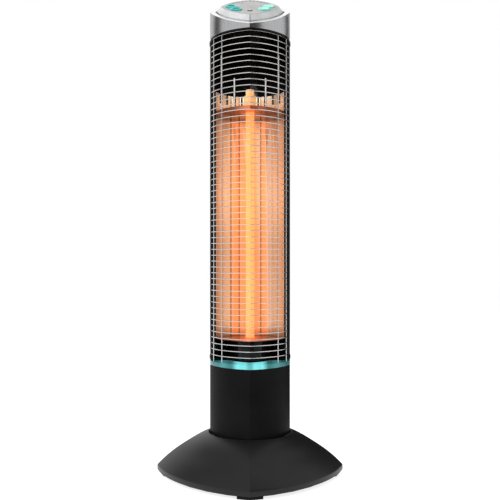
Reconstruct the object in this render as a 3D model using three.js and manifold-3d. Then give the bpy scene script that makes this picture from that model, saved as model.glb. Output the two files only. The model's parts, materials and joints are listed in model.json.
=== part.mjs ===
// Infrared patio heater tower: a column with a quartz heating tube behind a wire grille, which
// swings from side to side on a wide domed base. Millimetres, +Z up, the front faces -Y, and the
// origin is on the column's axis at floor level.
import * as THREE from "three";
import { mergeVertices } from "three/addons/utils/BufferGeometryUtils.js";
import Module from "manifold-3d";

// ---------------------------------------------------------------- driving dimensions, in mm

const SEAT = 0.3; // clearance between pieces that rest on, or fit in, each other
const OVERLAP = 1; // how far joined shapes reach into each other, and cutting shapes beyond

// The plan section of base, column and head: a square set corner-on, with bowed sides
const SIDE_BULGE = 0.188; // bow of each side, for a half-width of 1
const SIDE_STEPS = 6; // facets on each side
const ROUND_STEPS = 20; // facets round large cylinders
const SMALL_ROUND_STEPS = 12; // and round small ones

// Base
const BASE_HALF_WIDTH = 171.5; // axis to the corner of the dome's rim
const SHELL_WALL = 3;
const RIM_HEIGHT = 6.7; // the upright band under the dome
const DOME_RISE = 61.8; // from that band to the rim of the well
const DOME_BOW = 6.8; // how far the dome's profile bows out from straight
const WELL_RADIUS = 76.5; // the round well that the column stands in
const WELL_LIP = 1;
const WELL_DEPTH = 9.5;
const SQUARE_RIM_WIDTH = 31.5; // this near the rim the dome has its full corners
const DOME_STEPS = 6;
const PLATE_INSET = 8; // the bottom plate lies this far inside the rim
const PLATE_THICKNESS = 3;
const PLATE_LIP_HEIGHT = 4; // its edge stands up inside the shell
const FOOT_PAD_HEIGHT = 3.8; // rubber under the bottom plate
const FOOT_LIP_HEIGHT = 9.7; // rubber beside the plate, under the dome's rim
const FOOT_WIDTH = 44;
const FOOT_DEPTH = 32;
const FOOT_INSET = 2.5; // the foot's top lies this far inside the rim
const FOOT_DRAFT = 4; // and its sole this much further
const FOOT_PEG_RADIUS = 4;
const FOOT_PEG_HEIGHT = 5.5;
const FOOT_PEG_INSET = 24.5; // the peg's distance inside the rim
const SHELL_POST_GAP = 28.5; // from the well to the shell's screw posts, on the diagonals
const SHELL_POST_RADIUS = 5;

// Cable inlet at the rear of the base
const INLET_HEIGHT = 19.6;
const INLET_BORE = 3.4;
const INLET_WALL = 1.4;
const INLET_FLANGE_RADIUS = 7;
const INLET_FLANGE_THICKNESS = 1.5;
const INLET_BOSS_RADIUS = 7.5;
const INLET_BOSS_INSET = 3.1; // the boss's face lies this far inside the rim
const INLET_DEPTH = 20;

// Tip-over switch: the plunger is held in by the floor and drops when the heater is lifted
const TIP_PLACE = -95; // along X
const TIP_PLUNGER_RADIUS = 3.2;
const TIP_PLUNGER_LENGTH = 19.6;
const TIP_FLANGE_RADIUS = 5;
const TIP_FLANGE_THICKNESS = 1.5;
const TIP_TRAVEL = 4.5;
const TIP_BODY_SIZE = [22, 15, 17];
const TIP_FLOOR_GAP = 0.4;

// Swivel: a slow motor in the base turns a gear on the column's hollow spindle
const BEARING_HEIGHT = 5.4;
const BEARING_INNER_RADIUS = 34;
const BEARING_OUTER_RADIUS = 56;
const SPINDLE_RADIUS = 16;
const SPINDLE_BORE = 11;
const GEAR_MODULE = 1.25;
const GEAR_TEETH = 48; // of the full circle
const SECTOR_TEETH = 18; // of those, the teeth that are there
const PINION_TEETH = 12;
const TOOTH_ADDENDUM = 1.1;
const TOOTH_DEDENDUM = 1.45;
const TOOTH_ROOT_HALF = 1.08; // half the tooth's thickness at its root
const TOOTH_TIP_HALF = 0.4;
const GEAR_FACE = 8;
const GEAR_HUB_RADIUS = 22;
const GEAR_HUB_HEIGHT = 14.7;
const MESH_CLEARANCE = 0.15;
const CLIP_RING_THICKNESS = 1.2;
const CLIP_RING_WIDTH = 4;
const MOTOR_RADIUS = 24;
const MOTOR_HEIGHT = 22;
const MOTOR_NOSE_RADIUS = 6;
const MOTOR_NOSE_HEIGHT = 5;
const MOTOR_NOSE_GAP = 1.3; // below the gear's face
const MOTOR_SHAFT_RADIUS = 2.5;
const MOTOR_SHAFT_GRIP = 12; // shaft inside the motor
const BRACKET_SHEET = 2;
const BRACKET_WIDTH = 40;
const BRACKET_FOOT = 10;

// Column
const COLUMN_HALF_WIDTH = 74;
const HOUSING_WALL = 3;
const LOWER_HOUSING_HEIGHT = 125.7;
const LOWER_EDGE_RADIUS = 2.4; // rounding of the column's lower edge
const LOWER_EDGE_STEPS = 3;
const COLUMN_FOOT_THICKNESS = 4;
const FOOT_SCREW_PLACE = 62;
const FOOT_SCREW_POST_HEIGHT = 22;
const LIGHT_RING_HEIGHT = 8;
const LIGHT_RING_OPENING = 24; // half-width of its centre opening
const LIGHT_RING_LEG_RADIUS = 3;
const LIGHT_RING_LEG_HEIGHT = 7;
const LIGHT_RING_LEG_PLACE = 55;
const CHAMBER_HEIGHT = 590.5; // rear housing and grille
const POST_WRAP = 6; // the rear housing wraps this far forward of the side corners
const HEAD_FLOOR_THICKNESS = 2.6;
const HEAD_FLOOR_INSET = 0.8;
const WIRING_HOLE_RADIUS = 8;
const WIRING_HOLE_PLACE = [0, 50];

// Electronics in the lower housing
const BOARD_THICKNESS = 1.6;
const BOARD_SIZE = [90, 66];
const BOARD_HEIGHT = 12; // height of its posts above the column's foot
const BOARD_POST_RADIUS = 3.5;
const BOARD_POST_INSET = 6;
const RELAY_SIZE = [20, 16, 16];
const RELAY_PLACE = [-28, 14];
const TRANSFORMER_CORE = [32, 12, 28];
const TRANSFORMER_COIL = [18, 26, 20];
const TRANSFORMER_PLACE = [-22, -14];
const SINK_BASE = 3;
const SINK_SIZE = [34, 22, 30];
const SINK_FINS = 6;
const SINK_FIN_THICKNESS = 1.6;
const SINK_PLACE = [24, -14];
const TERMINAL_SIZE = [28, 12, 12];
const TERMINAL_PLACE = [12, 22];
const LED_BOARD_OUTER = 66; // half-widths
const LED_BOARD_INNER = 46;
const LED_SIZE = [4, 4, 1.4];
const LED_FACETS = [2, 4]; // the facets of each side that a light stands on

// Heating chamber
const PEDESTAL_HALF_WIDTH = 30;
const PEDESTAL_HEIGHT = 40.4;
const CHAMBER_PLATE_HALF_WIDTH = 65.5;
const CHAMBER_PLATE_SHEET = 1.5;
const BOTTOM_PLATE_BACK = 42; // its rear edge, behind the axis
const TUBE_RADIUS = 7.9;
const TUBE_WALL = 1.5;
const TUBE_INSERT = 7; // tube inside the lower cap
const TUBE_LENGTH = 441;
const CAP_RADIUS = 11.5;
const LOWER_CAP_LENGTH = 27;
const UPPER_CAP_WIDE_HEIGHT = 28.4;
const UPPER_CAP_NARROW_RADIUS = 7.9;
const UPPER_CAP_NARROW_HEIGHT = 12;
const FILAMENT_WIDTH = 5;
const FILAMENT_THICKNESS = 1;
const FILAMENT_TURNS = 4;
const FILAMENT_STEPS = 48;
const FILAMENT_PIN_RADIUS = 1.5;
const FILAMENT_PIN_LENGTH = 9;
const FILAMENT_PIN_GRIP = 3; // length of ribbon that each pin holds
const TUBE_ABOVE_PLATE = 17.7; // tube inside the upper cap
const TOP_PLATE_FLANGE = 7;
const REFLECTOR_SHEET = 1;
const REFLECTOR_ABOVE_PLATE = 36; // its top above the top plate
// One half of the folded reflector, from the centre out: distance from the axis in X and Y
const REFLECTOR_FOLDS = [
  [20.5, 38],
  [36, 32],
  [52, 18],
  [62.4, -6],
];
const REFLECTOR_SLOT_WIDTH = 3;
const REFLECTOR_SLOT_DEPTH = 18;
const REFLECTOR_SLOT_PLACES = [8, 15.5, 28, 43, 55];
const REFLECTOR_BRACKET_SIZE = [30, 20]; // width and height of its plate
const REFLECTOR_BRACKET_SHEET = 1.5;
const REFLECTOR_BRACKET_HEIGHT = 300; // above the bottom plate
const CUTOUT_RADIUS = 8;
const CUTOUT_LENGTH = 6;
const CUTOUT_HEIGHT = 360; // above the bottom plate
const LEAD_RADIUS = 1.6;
const LEAD_SIDES = 6;
const LEAD_BEND = 22; // length over which a lead turns
const LEAD_CROSSING = 5.2; // height at which the upper lead passes over the reflector
const LEAD_PLACE = [14, 52]; // where the upper lead runs down behind the reflector
const LEAD_HOLE_RADIUS = 4;

// Vents in the rear housing, hidden behind the reflector
const VENT_WIDTH = 44;
const VENT_SLOT_HEIGHT = 4;
const VENT_PITCH = 10;
const UPPER_VENTS = 5;
const LOWER_VENTS = 3;
const VENT_MARGIN = 14; // from the reflector's ends to the nearest slot

// Front grille
const WIRE_SIZE = 2.3;
const WIRE_COUNT = 55;
const WIRE_HALF_WIDTH = 72.8; // centreline of the cross wires, at the corner
const LOWEST_WIRE = 12.1; // above the light ring
const WIRE_STEPS = 3; // facets from a side corner to the front ridge
const UPRIGHT_PLACES = [-67.5, -51.5, 51.5, 67.5]; // along X
const WELD_DEPTH = 0.4; // how far crossing wires sink into each other
const CLIP_HEIGHT = 7.4;
const CLIP_REACH = 11; // forward and back from the corner
const CLIP_DEPTH = 1.6; // rebate under the clip
const CLIP_PROUD = 1;
const UPPER_CLIP_DROP = 2.7; // from the housing's top
const LOWER_CLIP_RISE = 3; // from its bottom

// Head
const PANEL_TILT = THREE.MathUtils.degToRad(29.8);
const HEAD_AXIS_HEIGHT = 50; // from the head's lower edge to the slanted rim, on the axis
const HEAD_WALL = 2.5;
const LIP_OPENING = 61.8; // half-width of the opening in the slanted lip
const LIP_THICKNESS = 2.2;
const BEZEL_SEAM = 0.6;
const BEZEL_WALL = 2.6;
const BEZEL_RISE = 9.5; // of the panel above the lip
const BEZEL_CHAMFER_START = 0.8;
const BEZEL_FLANGE_WIDTH = 4.8;
const BEZEL_FLANGE_THICKNESS = 2.2;
const BEZEL_LEDGE = 2.4;
const PANEL_HALF_WIDTH = 53.4;
const PANEL_THICKNESS = 2;
const HEAD_SCREW_PLACE = [26.8, -30];
const HEAD_POST_RADIUS = 4.6;
const HEAD_POST_HEIGHT = 12;
const HEAD_RIB = 3;
const HEAD_RIB_HEIGHT = 8;

// Buttons and receiver window, in the plane of the panel: across, and up the slope
const BUTTON_RADIUS = 10.2;
const BUTTON_STEPS = 16; // facets round it
const BUTTON_PROUD = 3.4;
const BUTTON_FLANGE = 1;
const BUTTON_FLANGE_THICKNESS = 1.3;
const BUTTON_TRAVEL = 1.2;
const BUTTON_EDGE = 1.4; // chamfer round its face
const BUTTON_CROWN = 0.2;
const BUTTON_STEM_RADIUS = 2;
const BUTTON_PLACES = {
  button_left_rear: [-34.6, -5],
  button_left_front: [-25, -26.4],
  button_right_rear: [34.6, -5],
  button_right_front: [25, -26.4],
};
const WINDOW_RADIUS = 5;
const WINDOW_PLACE = [0, -32];
const WINDOW_PROUD = 0.8;
const WINDOW_SHOULDER = 2; // its body is this much narrower than its face
const WINDOW_EDGE = 0.5;
const MARK_SIZE = [4, 1.8];
const MARK_DEPTH = 0.6;
const MARK_INSET = 9; // from the panel's rear edges
const MARKS_PER_SIDE = 4;
const MARKS_START = 0.2; // share of the rear edges before the first mark, and after the last
const CONTROL_BOARD_DROP = 8.5; // its top, below the panel's face
const TACT_SIZE = 6;
const TACT_HEIGHT = 0.5; // of the switches on the control board

// Screws
const SCREW_HEAD_RADIUS = 3.6;
const SCREW_HEAD_HEIGHT = 2;
const SCREW_SHANK_RADIUS = 1.6;
const SCREW_LENGTH = 12;
const SCREW_HEAD_EDGE = 1;
const SCREW_STEPS = 8;

// ---------------------------------------------------------------- levels, from the floor up

const plateBottom = FOOT_PAD_HEIGHT + SEAT;
const plateTop = plateBottom + PLATE_THICKNESS;
const shellBottom = FOOT_LIP_HEIGHT + SEAT;
const rimTop = shellBottom + RIM_HEIGHT;
const wellRim = rimTop + DOME_RISE;
const wellFloor = wellRim - WELL_DEPTH;
const wellUnderside = wellFloor - SHELL_WALL;
const bearingBottom = wellFloor + SEAT;
const columnBottom = bearingBottom + BEARING_HEIGHT + SEAT;
const columnFootTop = columnBottom + COLUMN_FOOT_THICKNESS;
const lowerHousingTop = columnBottom + LOWER_HOUSING_HEIGHT;
const ringBottom = lowerHousingTop + SEAT;
const ringTop = ringBottom + LIGHT_RING_HEIGHT;
const chamberBottom = ringTop + SEAT;
const chamberTop = chamberBottom + CHAMBER_HEIGHT;
const headFloorBottom = chamberTop + SEAT;
const headFloorTop = headFloorBottom + HEAD_FLOOR_THICKNESS;
const headBottom = headFloorTop + SEAT;
const rimOnAxis = headBottom + HEAD_AXIS_HEIGHT;

const gearTop = wellUnderside - SEAT;
const gearBottom = gearTop - GEAR_HUB_HEIGHT;
const spindleBottom = gearBottom - CLIP_RING_THICKNESS - 2 * SEAT;
const boardBottom = columnFootTop + BOARD_HEIGHT + SEAT;
const boardTop = boardBottom + BOARD_THICKNESS;
const pedestalTop = chamberBottom + PEDESTAL_HEIGHT;
const bottomPlateBottom = pedestalTop + SEAT;
const bottomPlateTop = bottomPlateBottom + CHAMBER_PLATE_SHEET;
const tubeBottom = bottomPlateTop - TUBE_INSERT;
const tubeTop = tubeBottom + TUBE_LENGTH;
const topPlateTop = tubeTop - TUBE_ABOVE_PLATE;
const reflectorBottom = bottomPlateTop + SEAT;
const reflectorTop = topPlateTop + REFLECTOR_ABOVE_PLATE;
const lowerCapTop = bottomPlateBottom - SEAT;
const upperCapBottom = topPlateTop + SEAT;

// ---------------------------------------------------------------- shapes and solids

const wasm = await Module();
wasm.setup();

// A closed three.js geometry as a solid that can be joined and cut.
function solid(geometry) {
  const bare = geometry.clone();
  bare.deleteAttribute("normal");
  bare.deleteAttribute("uv");
  const merged = mergeVertices(bare, 1e-4);
  const mesh = new wasm.Mesh({
    numProp: 3,
    vertProperties: merged.attributes.position.array,
    triVerts: new Uint32Array(merged.index.array),
  });
  return new wasm.Manifold(mesh);
}

function join(first, ...others) {
  return others.reduce((whole, other) => whole.add(other), first);
}

function cut(first, ...others) {
  return others.reduce((rest, other) => rest.subtract(other), first);
}

function geometryOf(shape) {
  const { vertProperties, triVerts } = shape.getMesh();
  const geometry = new THREE.BufferGeometry();
  geometry.setAttribute("position", new THREE.BufferAttribute(vertProperties, 3));
  geometry.setIndex(new THREE.BufferAttribute(triVerts, 1));
  const faceted = geometry.toNonIndexed();
  faceted.computeVertexNormals();
  return faceted;
}

// The bowed square of a half-width, anticlockwise from above; stretch lengthens it along Y.
function section(halfWidth, stretch = 1) {
  const radius = (halfWidth * (0.5 + SIDE_BULGE ** 2)) / (2 * SIDE_BULGE);
  const halfAngle = Math.asin((halfWidth * Math.SQRT1_2) / radius);
  const setBack = radius - halfWidth * (Math.SQRT1_2 + SIDE_BULGE);
  const points = [];
  for (let side = 0; side < 4; side++) {
    const facing = ((2 * side + 1) * Math.PI) / 4;
    for (let step = 0; step < SIDE_STEPS; step++) {
      const angle = facing + halfAngle * ((2 * step) / SIDE_STEPS - 1);
      const x = radius * Math.cos(angle) - setBack * Math.cos(facing);
      const y = radius * Math.sin(angle) - setBack * Math.sin(facing);
      points.push(new THREE.Vector2(x, y * stretch));
    }
  }
  return points;
}

function prism(points, bottom, top) {
  const geometry = new THREE.ExtrudeGeometry(new THREE.Shape(points), {
    depth: top - bottom,
    bevelEnabled: false,
  });
  return solid(geometry.translate(0, 0, bottom));
}

function column(halfWidth, bottom, top) {
  return prism(section(halfWidth), bottom, top);
}

function cylinderGeometry(radius, bottom, top, sides = ROUND_STEPS) {
  const geometry = new THREE.CylinderGeometry(radius, radius, top - bottom, sides);
  return geometry.rotateX(Math.PI / 2).translate(0, 0, (bottom + top) / 2);
}

function cylinder(radius, bottom, top, [x, y] = [0, 0], sides = ROUND_STEPS) {
  return solid(cylinderGeometry(radius, bottom, top, sides).translate(x, y, 0));
}

// A cylinder along Y, between two distances behind the axis.
function cylinderAlongY(radius, front, back, x, z) {
  const geometry = cylinderGeometry(radius, front, back).rotateX(-Math.PI / 2);
  return solid(geometry.translate(x, 0, z));
}

// What is cut away for a round hole, from one level to another.
function hole(radius, bottom, top, place, sides) {
  return cylinder(radius, bottom - OVERLAP, top + OVERLAP, place, sides);
}

function smallHole(radius, bottom, top, place) {
  return hole(radius, bottom, top, place, SMALL_ROUND_STEPS);
}

// What is cut away for an opening with the column's plan section.
function opening(halfWidth, bottom, top) {
  return column(halfWidth, bottom - OVERLAP, top + OVERLAP);
}

function ring(innerRadius, outerRadius, bottom, top) {
  return cut(cylinder(outerRadius, bottom, top), hole(innerRadius, bottom, top));
}

// A block given by its size and by the middle of its underside.
function blockGeometry([width, depth, height], [x, y, bottom]) {
  const geometry = new THREE.BoxGeometry(width, depth, height);
  return geometry.translate(x, y, bottom + height / 2);
}

function block(size, place) {
  return solid(blockGeometry(size, place));
}

// A turned piece about Z, from a profile of [radius, height] that starts and ends on the axis.
function turned(profile, sides = SMALL_ROUND_STEPS) {
  const points = profile.map(([radius, height]) => new THREE.Vector2(radius, height));
  return new THREE.LatheGeometry(points, sides).rotateX(Math.PI / 2);
}

// A body through rings of points, either capped at both ends or closed on itself.
function loft(rings, closesOnItself) {
  const count = rings[0].length;
  const positions = rings.flat().flatMap((point) => [point.x, point.y, point.z]);
  const indices = [];
  const bands = closesOnItself ? rings.length : rings.length - 1;
  for (let band = 0; band < bands; band++) {
    const lower = band * count;
    const upper = ((band + 1) % rings.length) * count;
    for (let i = 0; i < count; i++) {
      const next = (i + 1) % count;
      indices.push(lower + i, lower + next, upper + next, lower + i, upper + next, upper + i);
    }
  }
  if (!closesOnItself) {
    const last = (rings.length - 1) * count;
    for (let i = 1; i < count - 1; i++) {
      indices.push(0, i + 1, i, last, last + i, last + i + 1);
    }
  }
  const geometry = new THREE.BufferGeometry();
  geometry.setAttribute("position", new THREE.Float32BufferAttribute(positions, 3));
  geometry.setIndex(indices);
  return geometry;
}

function levelRing(points, height) {
  return points.map((point) => new THREE.Vector3(point.x, point.y, height));
}

// Makes something at each corner of the section (start angle 0) or each side (45 degrees).
function aroundFour(distance, startAngle, make) {
  return [0, 1, 2, 3].map((quarter) => {
    const angle = startAngle + (quarter * Math.PI) / 2;
    return make([distance * Math.cos(angle), distance * Math.sin(angle)], quarter);
  });
}

// A pan-head screw that points up, with its head's seat at the given place.
function screw([x, y, seat]) {
  const profile = [
    [0, -SCREW_HEAD_HEIGHT],
    [SCREW_HEAD_RADIUS - SCREW_HEAD_EDGE, -SCREW_HEAD_HEIGHT],
    [SCREW_HEAD_RADIUS, SCREW_HEAD_EDGE - SCREW_HEAD_HEIGHT],
    [SCREW_HEAD_RADIUS, 0],
    [SCREW_SHANK_RADIUS, 0],
    [SCREW_SHANK_RADIUS, SCREW_LENGTH - 2 * SCREW_SHANK_RADIUS],
    [0, SCREW_LENGTH],
  ];
  return solid(turned(profile, SCREW_STEPS).translate(x, y, seat));
}

const screwHole = SCREW_SHANK_RADIUS + SEAT;

// ---------------------------------------------------------------- the base

const plateHalfWidth = BASE_HALF_WIDTH - PLATE_INSET;
const pegPlace = BASE_HALF_WIDTH - FOOT_PEG_INSET;
const shellPostPlace = WELL_RADIUS + SHELL_POST_GAP;
const bossFace = BASE_HALF_WIDTH - INLET_BOSS_INSET;
const bossBack = bossFace - INLET_DEPTH;
const pinionDistance = (GEAR_MODULE * (GEAR_TEETH + PINION_TEETH)) / 2 + MESH_CLEARANCE;

function basePlate() {
  const lipTop = plateTop + PLATE_LIP_HEIGHT;
  const tray = cut(
    column(plateHalfWidth, plateBottom, lipTop),
    column(plateHalfWidth - PLATE_THICKNESS, plateTop, lipTop + OVERLAP),
  );
  const pegHoles = aroundFour(pegPlace, 0, (place) =>
    smallHole(FOOT_PEG_RADIUS + SEAT, plateBottom, plateTop, place),
  );
  const screwHoles = aroundFour(shellPostPlace, Math.PI / 4, (place) =>
    smallHole(screwHole, plateBottom, plateTop, place),
  );
  const plungerRadius = TIP_PLUNGER_RADIUS + SEAT;
  const plungerHole = smallHole(plungerRadius, plateBottom, plateTop, [TIP_PLACE, 0]);
  return cut(tray, ...pegHoles, ...screwHoles, plungerHole);
}

// The dome's profile at a corner: an arc from the well's lip down to the rim.
function domeArc() {
  const start = new THREE.Vector2(WELL_RADIUS + WELL_LIP, wellRim);
  const end = new THREE.Vector2(BASE_HALF_WIDTH, rimTop);
  const chord = end.clone().sub(start);
  const half = chord.length() / 2;
  const radius = (half ** 2 + DOME_BOW ** 2) / (2 * DOME_BOW);
  const inward = new THREE.Vector2(chord.y, -chord.x).normalize();
  const centre = start.clone().add(end).multiplyScalar(0.5);
  centre.addScaledVector(inward, radius - DOME_BOW);
  return { centre, radius, start, end };
}

// A ring of the dome: round near the well, and a bowed square near the rim.
function domeRing([cornerRadius, height]) {
  const squareFrom = BASE_HALF_WIDTH - SQUARE_RIM_WIDTH;
  const squareness = THREE.MathUtils.smoothstep(cornerRadius, WELL_RADIUS + WELL_LIP, squareFrom);
  return section(cornerRadius).map((point) => {
    const round = point.clone().setLength(cornerRadius);
    const blended = round.lerp(point, squareness);
    return new THREE.Vector3(blended.x, blended.y, height);
  });
}

// Points on an arc about the dome's centre, between two corner radii.
function arcStations(centre, radius, from, to) {
  const fromAngle = Math.acos((from - centre.x) / radius);
  const toAngle = Math.acos((to - centre.x) / radius);
  const stations = [];
  for (let step = 0; step <= DOME_STEPS; step++) {
    const angle = THREE.MathUtils.lerp(fromAngle, toAngle, step / DOME_STEPS);
    stations.push([
      centre.x + radius * Math.cos(angle),
      centre.y + radius * Math.sin(angle),
    ]);
  }
  return stations;
}

// The shell's profile, closed on itself, and the part of it that is the outside of the dome.
function shellStations() {
  const { centre, radius, start, end } = domeArc();
  const innerRim = BASE_HALF_WIDTH - SHELL_WALL;
  const wellOutside = WELL_RADIUS + SHELL_WALL;
  const spindleHole = SPINDLE_RADIUS + 2 * SEAT;
  const dome = [[BASE_HALF_WIDTH, shellBottom], ...arcStations(centre, radius, end.x, start.x)];
  const profile = [
    [innerRim, shellBottom],
    ...dome,
    [WELL_RADIUS, wellRim],
    [WELL_RADIUS, wellFloor],
    [spindleHole, wellFloor],
    [spindleHole, wellUnderside],
    [wellOutside, wellUnderside],
    ...arcStations(centre, radius - SHELL_WALL, wellOutside, innerRim),
  ];
  return { dome, profile };
}

// The four posts that the bottom plate is screwed to, from just above it up into the dome.
function shellPosts(dome) {
  const top = wellUnderside - SHELL_WALL;
  const underDome = join(
    solid(loft(dome.map(domeRing), false)),
    column(BASE_HALF_WIDTH - SHELL_WALL, plateTop, shellBottom + OVERLAP),
  );
  return aroundFour(shellPostPlace, Math.PI / 4, (place) => {
    const post = cylinder(SHELL_POST_RADIUS, plateTop + SEAT, top, place, SMALL_ROUND_STEPS);
    return post.intersect(underDome);
  });
}

function baseShell() {
  const { dome, profile } = shellStations();
  const shell = solid(loft(profile.map(domeRing), true));
  const pilots = aroundFour(shellPostPlace, Math.PI / 4, (place) =>
    smallHole(screwHole, plateTop, plateBottom + SCREW_LENGTH, place),
  );
  const boss = cylinderAlongY(INLET_BOSS_RADIUS, bossBack, bossFace, 0, INLET_HEIGHT);
  const boreRadius = INLET_BORE + INLET_WALL + SEAT;
  const outside = BASE_HALF_WIDTH + OVERLAP;
  const bore = cylinderAlongY(boreRadius, bossBack - OVERLAP, outside, 0, INLET_HEIGHT);
  const recessRadius = INLET_FLANGE_RADIUS + SEAT;
  const recess = cylinderAlongY(recessRadius, bossFace, outside, 0, INLET_HEIGHT);
  return cut(join(shell, ...shellPosts(dome), boss), ...pilots, bore, recess);
}

// A corner foot: a rubber pad under the plate, with a lip beside it and a peg through it.
function cornerFoot(quarter) {
  const top = BASE_HALF_WIDTH - FOOT_INSET;
  const sole = levelRing(section(top - FOOT_DRAFT), 0);
  const whole = solid(loft([sole, levelRing(section(top), FOOT_LIP_HEIGHT)], false));
  const turn = (quarter * Math.PI) / 2;
  const inner = top - FOOT_DEPTH;
  const size = [2 * FOOT_DEPTH, FOOT_WIDTH, FOOT_LIP_HEIGHT + 2 * OVERLAP];
  const corner = blockGeometry(size, [inner + FOOT_DEPTH, 0, -OVERLAP]);
  const recess = column(plateHalfWidth + SEAT, FOOT_PAD_HEIGHT, FOOT_LIP_HEIGHT + OVERLAP);
  const pad = cut(whole.intersect(solid(corner.rotateZ(turn))), recess);
  const place = [pegPlace * Math.cos(turn), pegPlace * Math.sin(turn)];
  const pegTop = FOOT_PAD_HEIGHT + FOOT_PEG_HEIGHT;
  const pegBottom = FOOT_PAD_HEIGHT - OVERLAP;
  return join(pad, cylinder(FOOT_PEG_RADIUS, pegBottom, pegTop, place, SMALL_ROUND_STEPS));
}

function cableInlet() {
  const face = bossFace + SEAT;
  const outer = INLET_BORE + INLET_WALL;
  const flangeFace = face + INLET_FLANGE_THICKNESS;
  const sleeve = cylinderAlongY(outer, bossBack, flangeFace, 0, INLET_HEIGHT);
  const flange = cylinderAlongY(INLET_FLANGE_RADIUS, face, flangeFace, 0, INLET_HEIGHT);
  const bore = cylinderAlongY(INLET_BORE, bossBack - OVERLAP, flangeFace + OVERLAP, 0, INLET_HEIGHT);
  return cut(join(sleeve, flange), bore);
}

const tipFlangeBottom = plateTop + TIP_TRAVEL + SEAT;

function tipSwitch() {
  const bottom = plateTop + SEAT;
  const body = block(TIP_BODY_SIZE, [TIP_PLACE, 0, bottom]);
  const place = [TIP_PLACE, 0];
  const top = bottom + TIP_BODY_SIZE[2];
  const chamberRoof = tipFlangeBottom + TIP_FLANGE_THICKNESS + SEAT;
  const chamberRadius = TIP_FLANGE_RADIUS + SEAT;
  const chamberFloor = bottom - OVERLAP;
  const chamber = cylinder(chamberRadius, chamberFloor, chamberRoof, place, SMALL_ROUND_STEPS);
  const guide = smallHole(TIP_PLUNGER_RADIUS + SEAT, bottom, top, place);
  return cut(body, chamber, guide);
}

function tipPlunger() {
  const profile = [
    [0, TIP_FLOOR_GAP],
    [TIP_PLUNGER_RADIUS, TIP_FLOOR_GAP],
    [TIP_PLUNGER_RADIUS, tipFlangeBottom],
    [TIP_FLANGE_RADIUS, tipFlangeBottom],
    [TIP_FLANGE_RADIUS, tipFlangeBottom + TIP_FLANGE_THICKNESS],
    [TIP_PLUNGER_RADIUS, tipFlangeBottom + TIP_FLANGE_THICKNESS],
    [TIP_PLUNGER_RADIUS, TIP_FLOOR_GAP + TIP_PLUNGER_LENGTH],
    [0, TIP_FLOOR_GAP + TIP_PLUNGER_LENGTH],
  ];
  return solid(turned(profile).translate(TIP_PLACE, 0, 0));
}

// ---------------------------------------------------------------- the swivel drive

// Four outline points of one straight-flanked tooth.
function tooth(pitchRadius, angle) {
  const root = pitchRadius - TOOTH_DEDENDUM;
  const tip = pitchRadius + TOOTH_ADDENDUM;
  const corners = [
    [root, -TOOTH_ROOT_HALF],
    [tip, -TOOTH_TIP_HALF],
    [tip, TOOTH_TIP_HALF],
    [root, TOOTH_ROOT_HALF],
  ];
  return corners.map(([radius, halfWidth]) => {
    const turn = angle + halfWidth / radius;
    return new THREE.Vector2(radius * Math.cos(turn), radius * Math.sin(turn));
  });
}

const faceBottom = gearBottom;
const faceTop = gearBottom + GEAR_FACE;

function swivelGear() {
  const pitch = (2 * Math.PI) / GEAR_TEETH;
  const pitchRadius = (GEAR_MODULE * GEAR_TEETH) / 2;
  const outline = [new THREE.Vector2(0, 0)];
  for (let i = 0; i < SECTOR_TEETH; i++) {
    const angle = Math.PI / 2 + (i - (SECTOR_TEETH - 1) / 2) * pitch;
    outline.push(...tooth(pitchRadius, angle));
  }
  const sector = prism(outline, faceBottom, faceTop);
  const hub = cylinder(GEAR_HUB_RADIUS, gearBottom, gearTop);
  return cut(join(sector, hub), hole(SPINDLE_RADIUS + SEAT, gearBottom, gearTop));
}

const motorTop = faceBottom - MOTOR_NOSE_GAP - MOTOR_NOSE_HEIGHT;
const motorBottom = motorTop - MOTOR_HEIGHT;

function motorPinion() {
  const outline = [];
  const pitchRadius = (GEAR_MODULE * PINION_TEETH) / 2;
  for (let i = 0; i < PINION_TEETH; i++) {
    outline.push(...tooth(pitchRadius, -Math.PI / 2 + (2 * Math.PI * i) / PINION_TEETH));
  }
  const wheel = prism(outline, faceBottom + SEAT, faceTop - SEAT);
  const shaftBottom = motorTop + MOTOR_NOSE_HEIGHT - MOTOR_SHAFT_GRIP;
  const shaft = cylinder(MOTOR_SHAFT_RADIUS, shaftBottom, faceTop - SEAT, [0, 0], SMALL_ROUND_STEPS);
  return join(wheel, shaft);
}

function swivelMotor() {
  const noseTop = motorTop + MOTOR_NOSE_HEIGHT;
  const can = cylinder(MOTOR_RADIUS, motorBottom, motorTop);
  const nose = cylinder(MOTOR_NOSE_RADIUS, motorTop - OVERLAP, noseTop);
  const bore = smallHole(MOTOR_SHAFT_RADIUS + SEAT, noseTop - MOTOR_SHAFT_GRIP, noseTop);
  return cut(join(can, nose), bore);
}

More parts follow.
